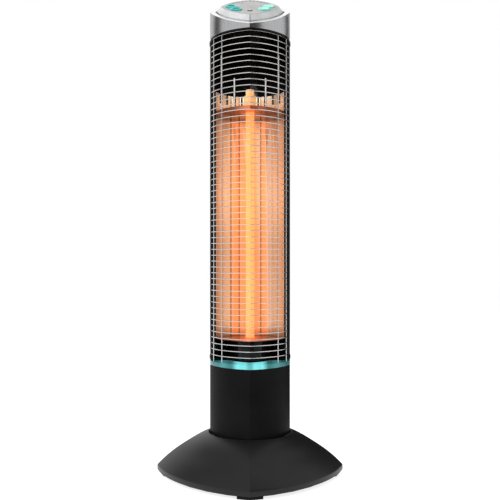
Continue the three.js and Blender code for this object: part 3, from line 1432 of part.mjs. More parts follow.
place(tower, "swivel_gear", swivelGear(), "natural");
place(tower, "retaining_ring", retainingRing(), "steel");
place(tower, "column_foot", columnFoot(), "satinBlack");
[-1, 1].forEach((side, i) => {
  const seat = [side * FOOT_SCREW_PLACE, 0, columnBottom - SEAT];
  place(tower, `foot_screw_${i + 1}`, screw(seat), "steel");
});
place(tower, "lower_housing", lowerHousing(), "satinBlack");
place(tower, "power_board", powerBoard(), "board");
place(tower, "relay", onBoard(RELAY_SIZE, RELAY_PLACE), "satinBlack");
place(tower, "transformer", transformer(), "copper");
place(tower, "heat_sink", heatSink(), "aluminium");
place(tower, "terminal_block", onBoard(TERMINAL_SIZE, TERMINAL_PLACE), "ceramic");
place(tower, "led_board", ledBoard(), "board");
place(tower, "light_ring", lightRing(), "teal");
place(tower, "pedestal", pedestal(), "glossBlack");
place(tower, "bottom_plate", bottomPlate(), "polished");
place(tower, "lower_ceramic_cap", lowerCap(), "ceramic");
place(tower, "quartz_tube", quartzTube(), "quartz");
place(tower, "filament", filament(), "glowing");
place(tower, "upper_ceramic_cap", upperCap(), "ceramic");
place(tower, "top_plate", topPlate(), "polished");
place(tower, "reflector", reflector(), "polished");
place(tower, "reflector_bracket", reflectorBracket(), "steel");
place(tower, "thermal_cutout", thermalCutout(), "satinBlack");
place(tower, "lower_lead", lowerLead(), "natural");
place(tower, "upper_lead", upperLead(), "natural");
place(tower, "rear_housing", rearHousing(), "glossBlack");
place(tower, "front_grille", frontGrille(), "chrome");
for (const [level, bottom] of Object.entries(clipLevels)) {
  place(tower, `${level}_clip_left`, cornerClip(-1, bottom), "satinBlack");
  place(tower, `${level}_clip_right`, cornerClip(1, bottom), "satinBlack");
}
place(tower, "head_floor", headFloor(), "glossBlack");
[-1, 1].forEach((side, i) => {
  const [x, y] = HEAD_SCREW_PLACE;
  place(tower, `head_screw_${i + 1}`, screw([side * x, y, headFloorBottom - SEAT]), "steel");
});
place(tower, "head_shell", headShell(), "silver");
place(tower, "head_bezel", headBezel(), "lightGrey");
place(slopedTop, "control_panel", controlPanel(), "midGrey");
place(slopedTop, "control_board", controlBoard(), "board");
place(slopedTop, "receiver_window", receiverWindow(), "smoked");
for (const [name, spot] of Object.entries(BUTTON_PLACES)) {
  place(slopedTop, name, button(spot), name.includes("left") ? "teal" : "mint");
}

export default heater;
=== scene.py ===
"""Looks of the infrared patio heater tower: fine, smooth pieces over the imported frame."""
import json
import math

import bmesh
import bpy
import numpy as np
from mathutils import Matrix, Vector


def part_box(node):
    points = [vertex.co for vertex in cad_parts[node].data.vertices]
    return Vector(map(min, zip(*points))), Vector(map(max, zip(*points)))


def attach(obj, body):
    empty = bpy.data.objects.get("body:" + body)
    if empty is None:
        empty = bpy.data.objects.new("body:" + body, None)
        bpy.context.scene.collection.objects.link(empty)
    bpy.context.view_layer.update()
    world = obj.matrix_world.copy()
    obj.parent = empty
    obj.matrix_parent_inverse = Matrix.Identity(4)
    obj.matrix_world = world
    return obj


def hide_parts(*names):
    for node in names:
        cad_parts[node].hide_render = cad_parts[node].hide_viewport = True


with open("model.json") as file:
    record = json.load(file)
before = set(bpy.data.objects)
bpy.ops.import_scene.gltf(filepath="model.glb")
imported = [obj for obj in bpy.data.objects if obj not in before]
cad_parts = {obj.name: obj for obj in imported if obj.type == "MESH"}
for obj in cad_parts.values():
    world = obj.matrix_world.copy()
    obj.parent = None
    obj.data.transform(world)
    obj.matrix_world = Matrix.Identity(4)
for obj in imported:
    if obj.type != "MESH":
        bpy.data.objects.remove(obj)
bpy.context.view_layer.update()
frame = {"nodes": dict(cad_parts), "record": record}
scene = bpy.context.scene

MM = 0.001  # the sizes below are in millimetres

# Plan section: a square set corner-on, with bowed sides and slightly rounded corners
SIDE_BULGE = 0.188
SIDE_STEPS = 20
CORNER_TRIM = 0.5

BASE_HALF_WIDTH = 171.5
SHELL_WALL = 3.0
RIM_TOP = 16.7
WELL_RADIUS = 76.5
WELL_LIP = 1.0
WELL_RIM = 78.5
WELL_FLOOR = 69.0
DOME_BOW = 6.8
DOME_STEPS = 24
SQUARE_RIM_WIDTH = 31.5
SPINDLE_HOLE = 16.6
INLET_HEIGHT = 19.6
INLET_BORE = 3.4
INLET_SLEEVE = 4.8
INLET_FLANGE = 7.0
INLET_FLANGE_THICKNESS = 1.5
INLET_BOSS = 7.5
INLET_BOSS_FACE = 168.4
INLET_BOSS_BACK = 148.4

COLUMN_HALF_WIDTH = 74.0
HOUSING_WALL = 3.0
POST_WRAP = 6.0
VENT_WIDTH = 44.0
VENT_HEIGHT = 4.0
VENT_PITCH = 10.0
UPPER_VENTS = 5
LOWER_VENTS = 3
VENT_MARGIN = 14.0
CLIP_REACH = 11.0
CLIP_DEPTH = 1.6
CLIP_PROUD = 1.0
SEAT = 0.3

WIRE_SIZE = 2.3
WIRE_COUNT = 55
WIRE_HALF_WIDTH = 72.8
LOWEST_WIRE = 12.1
WIRE_RADIUS = 0.8
WIRE_SIDES = 10
WIRE_TRIM = 3.0  # where a wire's bend at the ridge starts
UPRIGHT_PLACES = (-67.5, -51.5, 51.5, 67.5)
WELD_DEPTH = 0.4

TUBE_RADIUS = 7.9
TUBE_WALL = 1.5
CAP_RADIUS = 11.5
CAP_NARROW_RADIUS = 7.9
CAP_STEP = 28.4
CAP_BORE_DEPTH = 20.0
FILAMENT_WIDTH = 5.0
FILAMENT_THICKNESS = 1.0
FILAMENT_TURNS = 4
FILAMENT_STEPS = 240
REFLECTOR_FOLDS = ((20.5, 38.0), (36.0, 32.0), (52.0, 18.0), (62.4, -6.0))
REFLECTOR_SHEET = 1.0
REFLECTOR_SLOT_WIDTH = 3.0
REFLECTOR_SLOT_DEPTH = 18.0
REFLECTOR_SLOT_PLACES = (8.0, 15.5, 28.0, 43.0, 55.0)
PLATE_HALF_WIDTH = 65.5
PLATE_SHEET = 1.5
BOTTOM_PLATE_BACK = 42.0
HANGER_SIZE = (2.4, 1.2)
HANGER_PLACES = ((29.0, 4.0, 64.0), (52.5, -2.0, 104.0))  # X and Y from the axis, height
PEDESTAL_HALF_WIDTH = 30.0
RING_OPENING = 24.0
RING_BOTTOM = 201.0
CHAMBER_FLOOR_HALF_WIDTH = 69.5  # behind the axis
CHAMBER_FLOOR_FRONT = 35.0  # in front of it

PANEL_TILT = math.radians(29.8)
RIM_ON_AXIS = 853.0
HEAD_WALL = 2.5
HEAD_FLOOR_INSET = 0.8
LEAD_HOLE_RADIUS = 8.0
LEAD_HOLE_BACK = 50.0  # behind the axis
HEAD_EDGE = ((0.0, 1.1), (0.1, 0.65), (0.35, 0.3), (0.75, 0.07), (1.2, 0.0))  # inwards, down
LIP_OPENING = 61.8
LIP_THICKNESS = 2.2
BEZEL_SEAM = 0.6
BEZEL_WALL = 2.6
BEZEL_RISE = 9.5
BEZEL_CHAMFER_START = 0.8
BEZEL_FLANGE = (4.8, 2.2)  # its reach under the lip, and its thickness
BEZEL_LEDGE = (2.4, 2.0)  # width and thickness of the ledge under the panel
INNER_DROP = 0.7  # how far bezel and window go below the rim's plane
# Levels of the black strip that stands for the shade in the seam round the bezel
SEAM_SHADE_LEVELS = (-2.2, -0.4)
SIDE_SEAM = 2.4  # how much wider the seam round the bezel is at the two sides
RIDGE_GROOVE = 0.5  # depth of the fine groove down the front ridge
PANEL_HALF_WIDTH = 53.4
PANEL_THICKNESS = 2.0
BUTTON_RADIUS = 10.2
BUTTON_PROUD = 3.4
BUTTON_PLACES = {
    "button_left_rear": (-34.6, -5.0),
    "button_left_front": (-25.0, -26.4),
    "button_right_rear": (34.6, -5.0),
    "button_right_front": (25.0, -26.4),
}
BUTTON_FLANGE = (1.0, 1.3)  # its reach past the button, and its thickness
STEM_RADIUS = 2.0
STEM_BOTTOM = 1.0
DISH_DEPTH = 1.7
DISH_RIM = 2.6  # width of the flat ring round the dish
DISH_SLOPE = 4.6  # from the button's edge to the dish's floor
DISH_INSET = 3.6  # from the button's edge to where the painted shade in the dish starts
WINDOW_RADIUS = 5.0
EYE_RADIUS = 1.9
WINDOW_PLACE = (0.0, -32.0)
WINDOW_PROUD = 0.8
MARK_SIZE = (2.2, 7.0)  # along the panel's edge and across it
MARK_DEPTH = 0.6
MARK_INSET = 9.0
MARK_COUNT = 13
MARKS_START = 0.17  # share of the rear edges before the first mark, and after the last

SHARP = 38  # degrees between faces from which an edge shows as sharp
DOME_SHARP = 30
WIRE_SHARP = 60
BEVEL_FROM = 40  # degrees between faces from which an edge gets a bevel
NOISE_DETAIL = (3, 2)  # of the broad and of the fine pattern
RELIEF = 0.1
FOLD_SHADE = 2.0  # how far the painted shade along a fold of the reflector reaches
# Painted shade along the reflector's folds, as (X in millimetres, level)
FOLD_SHADES = (
    (-52.0, 0.5), (-36.0, 0.12), (-20.5, 0.16), (20.5, 0.16), (36.0, 0.7), (52.0, 0.35),
)
# Painted reflection of the pale studio across the reflector, as (X in millimetres, share)
PAINTED_REFLECTION_SIDES = ((-44, 0.7), (-37, 0.0), (23, 0.0), (32, 0.5), (44, 0.9))
# Painted shade down the ridge groove of the silver head and the bezel
RIDGE_LINE = 0.45
RIDGE_SHADE = 0.25
# Painted glow: the reflector's own light stands for its reflection of the tube
REFLECTOR_GLOW = 0.46
RING_GLOW = 1.05
# Painted glow of the chamber's plates, standing for the tube's light on them
PLATE_GLOW = 0.2
FLOOR_GLOW = 0.8
WORLD_LEVEL = 0.4

CAMERA_DISTANCE = 1.43851  # metres
CAMERA_HEIGHT = 0.3922
CAMERA_LENS = 55.99
CAMERA_SENSOR = 36
CAMERA_SHIFT = 0.0223


# ---------------- plan outlines


def section(half, stretch=1.0, trim=CORNER_TRIM):
    """The bowed square's outline, anticlockwise from above, as a list of points."""
    radius = half * (0.5 + SIDE_BULGE**2) / (2 * SIDE_BULGE)
    half_angle = math.asin(half * math.sqrt(0.5) / radius)
    set_back = radius - half * (math.sqrt(0.5) + SIDE_BULGE)
    points = []
    for side in range(4):
        facing = (2 * side + 1) * math.pi / 4
        span = half_angle - trim / radius
        for step in range(SIDE_STEPS + 1):
            angle = facing + span * (2 * step / SIDE_STEPS - 1)
            x = radius * math.cos(angle) - set_back * math.cos(facing)
            y = radius * math.sin(angle) - set_back * math.sin(facing)
            points.append(Vector((x, y)))
    return [Vector((p.x, p.y * stretch)) for p in with_round_corners(points, half)]


def curve(start, corner, end, shares):
    """Points of a short curve from start to end that is drawn towards the corner point."""
    return [start.lerp(corner, s).lerp(corner.lerp(end, s), s) for s in shares]


def with_round_corners(points, half):
    """Bridges the gap at each corner with a short curve drawn towards the corner point."""
    bridged = []
    per_side = SIDE_STEPS + 1
    for side in range(4):
        bridged += points[side * per_side:(side + 1) * per_side]
        start = bridged[-1]
        end = points[((side + 1) * per_side) % len(points)]
        turn = (side + 1) * math.pi / 2
        corner = Vector((half * math.cos(turn), half * math.sin(turn)))
        bridged += curve(start, corner, end, (0.25, 0.5, 0.75))
    return bridged


def run_where(points, inside):
    """The one stretch of a closed outline where inside(point) >= 0, cut exactly at its ends."""
    values = [inside(p) for p in points]
    count = len(points)

    def crossing(i):
        before, after = values[i - 1], values[i % count]
        return points[i - 1].lerp(points[i % count], before / (before - after))

    first = next(i for i in range(count) if values[i - 1] < 0 <= values[i])
    run = [crossing(first)]
    i = first
    while values[i % count] >= 0:
        run.append(points[i % count])
        i += 1
    return run + [crossing(i % count)]


def moved(line, offset):
    """An open line moved to its right by an offset, with mitred corners."""
    normals = []
    for start, end in zip(line, line[1:]):
        along = (end - start).normalized()
        normals.append(Vector((along.y, -along.x)))
    result = []
    for i, point in enumerate(line):
        before = normals[max(i - 1, 0)]
        after = normals[min(i, len(normals) - 1)]
        mitre = (before + after).normalized()
        result.append(point + mitre * (offset / mitre.dot(before)))
    return result


def softened(before, corner, after, radius, most, steps):
    """A corner's curve: radius long on each side, but at most that share of the side."""
    back, onward = before - corner, after - corner
    reach = min(radius, back.length * most, onward.length * most)
    start = corner + back.normalized() * reach
    end = corner + onward.normalized() * reach
    return curve(start, corner, end, [step / steps for step in range(steps + 1)])


def rounded(profile, radius, steps=4):
    """A closed profile of (across, up) points with rounded corners."""
    corners = [Vector(p) for p in profile]
    result = []
    for before, corner, after in zip(corners[-1:] + corners, corners, corners[1:] + corners[:1]):
        result += softened(before, corner, after, radius, 0.4, steps)
    return result


def open_rounded(profile, radius, steps=4):
    """Rounds the inner corners of an open profile and keeps its two ends."""
    corners = [Vector(p) for p in profile]
    result = [corners[0]]
    for before, corner, after in zip(corners, corners[1:], corners[2:]):
        result += softened(before, corner, after, radius, 0.45, steps)
    return result + [corners[-1]]


def wall(inner, outer, bottom, top):
    """The closed profile of an upright wall."""
    return [(inner, bottom), (outer, bottom), (outer, top), (inner, top)]


def at_level(outline, height):
    return [(p.x, p.y, height) for p in outline]


# ---------------- meshes


def smoothed(mesh, sharp):
    mesh.polygons.foreach_set("use_smooth", [True] * len(mesh.polygons))
    mesh.set_sharp_from_angle(angle=math.radians(sharp))


def linked(name, data):
    """An object for a mesh, a lamp or a camera."""
    piece = bpy.data.objects.new(name, data)
    scene.collection.objects.link(piece)
    return piece


def make(name, points, faces, sharp=SHARP):
    """A smooth-shaded mesh object from points in millimetres."""
    mesh = bpy.data.meshes.new(name)
    mesh.from_pydata([tuple(c * MM for c in p) for p in points], [], faces)
    smoothed(mesh, sharp)
    return linked(name, mesh)


def skin(rings, count, closed):
    """Faces between rings of count points that are numbered one ring after the other."""
    faces = []
    for ring in range(rings if closed else rings - 1):
        low = ring * count
        high = ((ring + 1) % rings) * count
        for i in range(count):
            after = (i + 1) % count
            faces.append((low + i, low + after, high + after, high + i))
    return faces


def loft(name, rings, closed=True, sharp=SHARP):
    """A body through rings of points: closed on itself, or capped at both ends."""
    count = len(rings[0])
    points = [p for ring in rings for p in ring]
    faces = skin(len(rings), count, closed)
    if not closed:
        faces.append(tuple(reversed(range(count))))
        last = (len(rings) - 1) * count
        faces.append(tuple(last + i for i in range(count)))
    return make(name, points, faces, sharp)


def prism(name, outline, bottom, top, bevel=0.0):
    """An upright prism over an anticlockwise outline, with bevelled edges."""
    piece = loft(name, [at_level(outline, z) for z in (bottom, top)], closed=False)
    return bevelled(piece, bevel) if bevel else piece


def bevelled(piece, width, segments=2):
    modifier = piece.modifiers.new("edges", "BEVEL")
    modifier.width = width * MM
    modifier.segments = segments
    modifier.limit_method = "ANGLE"
    modifier.angle_limit = math.radians(BEVEL_FROM)
    modifier.harden_normals = False
    return baked(piece)


def baked(piece, sharp=SHARP):
    """Applies a piece's modifiers to its mesh."""
    bpy.context.view_layer.update()
    evaluated = piece.evaluated_get(bpy.context.evaluated_depsgraph_get())
    mesh = bpy.data.meshes.new_from_object(evaluated)
    piece.modifiers.clear()
    piece.data = mesh
    smoothed(mesh, sharp)
    return piece


def combine(piece, others, operation="DIFFERENCE"):
    """Cuts other bodies from a piece, or joins them to it, and deletes them."""
    for other in others:
        modifier = piece.modifiers.new("combine", "BOOLEAN")
        modifier.operation = operation
        modifier.solver = "EXACT"
        modifier.object = other
    baked(piece)
    for other in others:
        bpy.data.objects.remove(other)
    return piece


def joined(name, parts):
    """One object that holds the meshes of several."""
    whole = bmesh.new()
    for part in parts:
        part.data.transform(part.matrix_world)
        whole.from_mesh(part.data)
        bpy.data.objects.remove(part)
    mesh = bpy.data.meshes.new(name)
    whole.to_mesh(mesh)
    whole.free()
    mesh.set_sharp_from_angle(angle=math.radians(SHARP))
    return linked(name, mesh)


def turned(name, profile, sides=48, closed=False):
    """A turned piece about Z. An open profile starts and ends on the axis."""
    rims = profile if closed else profile[1:-1]
    points = []
    for radius, height in rims:
        for i in range(sides):
            angle = 2 * math.pi * i / sides
            points.append((radius * math.cos(angle), radius * math.sin(angle), height))
    faces = skin(len(rims), sides, closed)
    if not closed:
        start, end = len(points), len(points) + 1
        points += [(0, 0, profile[0][1]), (0, 0, profile[-1][1])]
        last = (len(rims) - 1) * sides
        for i in range(sides):
            after = (i + 1) % sides
            faces.append((start, after, i))
            faces.append((end, last + i, last + after))
    return make(name, points, faces)


def box_body(name, size, place, bevel=0.0):
    """A box from its size and the middle of its underside."""
    width, depth, height = size
    x, y, bottom = place
    corners = ((-1, -1), (1, -1), (1, 1), (-1, 1))
    outline = [Vector((x + i * width / 2, y + j * depth / 2)) for i, j in corners]
    return prism(name, outline, bottom, bottom + height, bevel)


def levels(node):
    """The lowest and highest level of a CAD node, in millimetres."""
    low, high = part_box(node)
    return low.z / MM, high.z / MM


TILT = Matrix.Translation((0, 0, RIM_ON_AXIS * MM)) @ Matrix.Rotation(PANEL_TILT, 4, "X")


def shifted(piece, x, y):
    """Moves a piece over the floor by millimetres."""
    piece.data.transform(Matrix.Translation((x * MM, y * MM, 0)))
    return piece


def tilted(piece):
    """Moves a piece from the flat plane of the slanted rim to its real place."""
    piece.data.transform(TILT)
    return piece


# ---------------- finishes


def tree(owner):
    return owner.node_tree.nodes, owner.node_tree.links


def patterns(nodes, links, stretch, sizes, details):
    """Noise patterns of some sizes in millimetres, stretched along the axes."""
    coords = nodes.new("ShaderNodeTexCoord")
    mapping = nodes.new("ShaderNodeMapping")
    mapping.inputs["Scale"].default_value = stretch
    links.new(coords.outputs["Object"], mapping.inputs["Vector"])
    made = []
    for size, detail in zip(sizes, details):
        noise = nodes.new("ShaderNodeTexNoise")
        noise.inputs["Scale"].default_value = 1 / (size * MM)
        noise.inputs["Detail"].default_value = detail
        links.new(mapping.outputs["Vector"], noise.inputs["Vector"])
        made.append(noise.outputs["Fac"])
    return made


def two_shades(nodes, links, pattern, dark, light):
    ramp = nodes.new("ShaderNodeValToRGB")
    for element, place, shade in zip(ramp.color_ramp.elements, (0.3, 0.7), (dark, light)):
        element.position = place
        element.color = (*shade, 1)
    links.new(pattern, ramp.inputs["Fac"])
    return ramp.outputs["Color"]


def surface(name, dark, light, roughness, grain, bump, stretch=(1, 1, 1), **sockets):
    """A procedural finish: two mixed shades, roughness that varies, and a fine relief.

    grain is the size of its broad and its fine pattern in millimetres.
    """
    material = bpy.data.materials.new(name)
    material.use_nodes = True
    nodes, links = tree(material)
    shader = nodes["Principled BSDF"]
    broad, fine = patterns(nodes, links, stretch, grain, NOISE_DETAIL)
    links.new(two_shades(nodes, links, broad, dark, light), shader.inputs["Base Color"])
    spread = nodes.new("ShaderNodeMapRange")
    spread.inputs["To Min"].default_value = roughness[0]
    spread.inputs["To Max"].default_value = roughness[1]
    links.new(fine, spread.inputs["Value"])
    links.new(spread.outputs["Result"], shader.inputs["Roughness"])
    relief = nodes.new("ShaderNodeBump")
    relief.inputs["Strength"].default_value = bump
    relief.inputs["Distance"].default_value = RELIEF * MM
    links.new(fine, relief.inputs["Height"])
    links.new(relief.outputs["Normal"], shader.inputs["Normal"])
    for socket, value in sockets.items():
        shader.inputs[socket.replace("_", " ")].default_value = value
    return material


def glow(material, dark, light, strength, size, stretch=(1, 1, 1)):
    """Adds light of its own to a finish, in two mixed shades."""
    nodes, links = tree(material)
    shader = nodes["Principled BSDF"]
    pattern, = patterns(nodes, links, stretch, (size,), NOISE_DETAIL[1:])
    links.new(two_shades(nodes, links, pattern, dark, light), shader.inputs["Emission Color"])
    shader.inputs["Emission Strength"].default_value = strength
    return material


def math_node(nodes, links, operation, *terms):
    """The outcome of a sum on sockets and numbers."""
    node = nodes.new("ShaderNodeMath")
    node.operation = operation
    for term, socket in zip(terms, node.inputs):
        if isinstance(term, float):
            socket.default_value = term
        else:
            links.new(term, socket)
    return node.outputs["Value"]


def levels_along(material, axis, stops, folded=False):
    """A factor that follows straight stops of (millimetres, level) along X or Z.

    Folded, the stops count from the middle to both sides.
    """
    nodes, links = tree(material)
    coords = nodes.new("ShaderNodeTexCoord")
    split = nodes.new("ShaderNodeSeparateXYZ")
    links.new(coords.outputs["Object"], split.inputs["Vector"])
    place = split.outputs[axis]
    if folded:
        place = math_node(nodes, links, "ABSOLUTE", place)
    start, end = stops[0][0], stops[-1][0]
    spread = nodes.new("ShaderNodeMapRange")
    spread.inputs["From Min"].default_value = start * MM
    spread.inputs["From Max"].default_value = end * MM
    links.new(place, spread.inputs["Value"])
    ramp = nodes.new("ShaderNodeValToRGB")
    elements = ramp.color_ramp.elements
    elements.remove(elements[1])
    for i, (at, level) in enumerate(stops):
        position = (at - start) / (end - start)
        element = elements[0] if i == 0 else elements.new(position)
        element.position = position
        element.color = (level, level, level, 1)
    links.new(spread.outputs["Result"], ramp.inputs["Fac"])
    return ramp.outputs["Color"]


def lit_by(material, factor, level):
    """Makes a finish's own light follow a factor."""
    nodes, links = tree(material)
    strength = math_node(nodes, links, "MULTIPLY", factor, level)
    links.new(strength, nodes["Principled BSDF"].inputs["Emission Strength"])
    return material


def shaded(material, factor):
    """Scales a finish's colour by a factor."""
    nodes, links = tree(material)
    shader = nodes["Principled BSDF"]
    colour = shader.inputs["Base Color"].links[0].from_socket
    scaled = nodes.new("ShaderNodeVectorMath")
    scaled.operation = "MULTIPLY"
    links.new(colour, scaled.inputs[0])
    links.new(factor, scaled.inputs[1])
    links.new(scaled.outputs["Vector"], shader.inputs["Base Color"])
    return material


def mixed_in(material, socket, colour, factor):
    """Mixes another colour into what feeds a socket, by a factor."""
    nodes, links = tree(material)
    target = nodes["Principled BSDF"].inputs[socket]
    mix = nodes.new("ShaderNodeMix")
    mix.data_type = "RGBA"
    links.new(factor, mix.inputs["Factor"])
    links.new(target.links[0].from_socket, mix.inputs[6])
    mix.inputs[7].default_value = (*colour, 1)
    links.new(mix.outputs[2], target)


def with_painted_ridge_shade(material):
    """Painted shade: a fine dark line down the front and the rear ridge, in the ridge's groove."""
    stops = [(0, RIDGE_SHADE), (RIDGE_LINE, RIDGE_SHADE), (2 * RIDGE_LINE, 1), (BASE_HALF_WIDTH, 1)]
    return shaded(material, levels_along(material, "X", stops, folded=True))


def reflector_finish():
    """Warm polished metal with painted light: its warm colour and a painted glow stand for its
    reflection of the glowing tube, with painted shade along the folds and at the plates, and a pale
    painted reflection of the studio at the sides and on top.
    """
    material = glow(
        surface(
            "polished_reflector", (0.64, 0.37, 0.2), (0.74, 0.47, 0.28), (0.2, 0.3), (30, 2), 0.06,
            stretch=(2, 2, 0.15), Metallic=1.0,
        ),
        (0.72, 0.28, 0.1), (0.82, 0.34, 0.15), 0.3, 26, stretch=(2.5, 2.5, 0.3),
    )
    nodes, links = tree(material)
    edge = REFLECTOR_FOLDS[-1][0]
    # Painted shade along each fold
    painted_fold_shade = [(-edge, 0.5)]
    for x, shade in FOLD_SHADES:
        painted_fold_shade += [(x - FOLD_SHADE, 1.0), (x, shade), (x + FOLD_SHADE, 1.0)]
    painted_fold_shade.append((edge, 0.8))
    across = levels_along(material, "X", painted_fold_shade)
    bottom, top = levels("reflector")
    under_plate = levels("top_plate")[0]
    # Painted shade near the bottom and under the top plate, and more painted glow higher up
    painted_glow_and_shade = [
        (bottom, 0.5), (bottom + 16, 1.0), (bottom + 170, 0.95), (bottom + 265, 1.2),
        (bottom + 360, 1.0), (under_plate - 9, 1.0), (under_plate - 2, 0.3),
        (top - REFLECTOR_SLOT_DEPTH - 4, 1.2), (top, 2.0),
    ]
    painted_glow_upward = levels_along(material, "Z", painted_glow_and_shade)
    # Painted reflection of the pale studio: paler at the sides and near the top
    sides = levels_along(material, "X", [(-edge, 0.9), *PAINTED_REFLECTION_SIDES, (edge, 0.8)])
    ends = [(under_plate, 0.0), (under_plate + 8, 0.55), (top - 6, 0.9), (top, 0.9)]
    pale = math_node(nodes, links, "MAXIMUM", sides, levels_along(material, "Z", ends))
    mixed_in(material, "Base Color", (0.74, 0.58, 0.46), pale)
    mixed_in(material, "Emission Color", (0.5, 0.3, 0.18), pale)
    # The painted shade and glow scale both the colour and the glow
    factor = math_node(nodes, links, "MULTIPLY", across, painted_glow_upward)
    return shaded(lit_by(material, factor, REFLECTOR_GLOW), factor)


def ring_finish():
    """Teal plastic that shines by its lamps either side of the front ridge."""
    material = glow(
        surface(
            "teal_light_plastic", (0.015, 0.12, 0.12), (0.035, 0.18, 0.18),
            (0.1, 0.2), (14, 2), 0.1,
            Coat_Weight=0.15, Specular_IOR_Level=0.15,
        ),
        (0.16, 0.64, 0.66), (0.24, 0.78, 0.82), 0.9, 22,
    )
    lamps = [
        (0, 0.5), (3, 0.55), (8, 0.95), (22, 1.0), (32, 0.14), (38, 0.1), (48, 0.25), (60, 0.06),
        (COLUMN_HALF_WIDTH, 0.08),
    ]
    return lit_by(material, levels_along(material, "X", lamps, folded=True), RING_GLOW)


def plate_finish():
    """Metal with painted light from the tube: an orange-brown colour for its reflection and a
    painted glow, both strongest in its middle.
    """
    material = glow(
        surface(
            "plate_painted_glow", (0.34, 0.13, 0.08), (0.48, 0.2, 0.12), (0.22, 0.34), (18, 1.5),
            0.15, stretch=(0.3, 2, 2), Metallic=1.0,
        ),
        (0.55, 0.09, 0.03), (0.75, 0.14, 0.05), PLATE_GLOW, 24,
    )
    # Painted light and shade: brightest in the middle, darker towards the sides
    stops = [(0, 1.5), (9, 1.4), (20, 0.8), (34, 0.4), (54, 0.6), (PLATE_HALF_WIDTH, 0.5)]
    factor = levels_along(material, "X", stops, folded=True)
    return shaded(lit_by(material, factor, PLATE_GLOW), factor)


def specular(level):
    return {"Specular_IOR_Level": level}


METAL = {"Metallic": 1.0}
SOFT_BUTTON = {**specular(0.3), "Subsurface_Weight": 0.15, "Subsurface_Scale": 0.003}

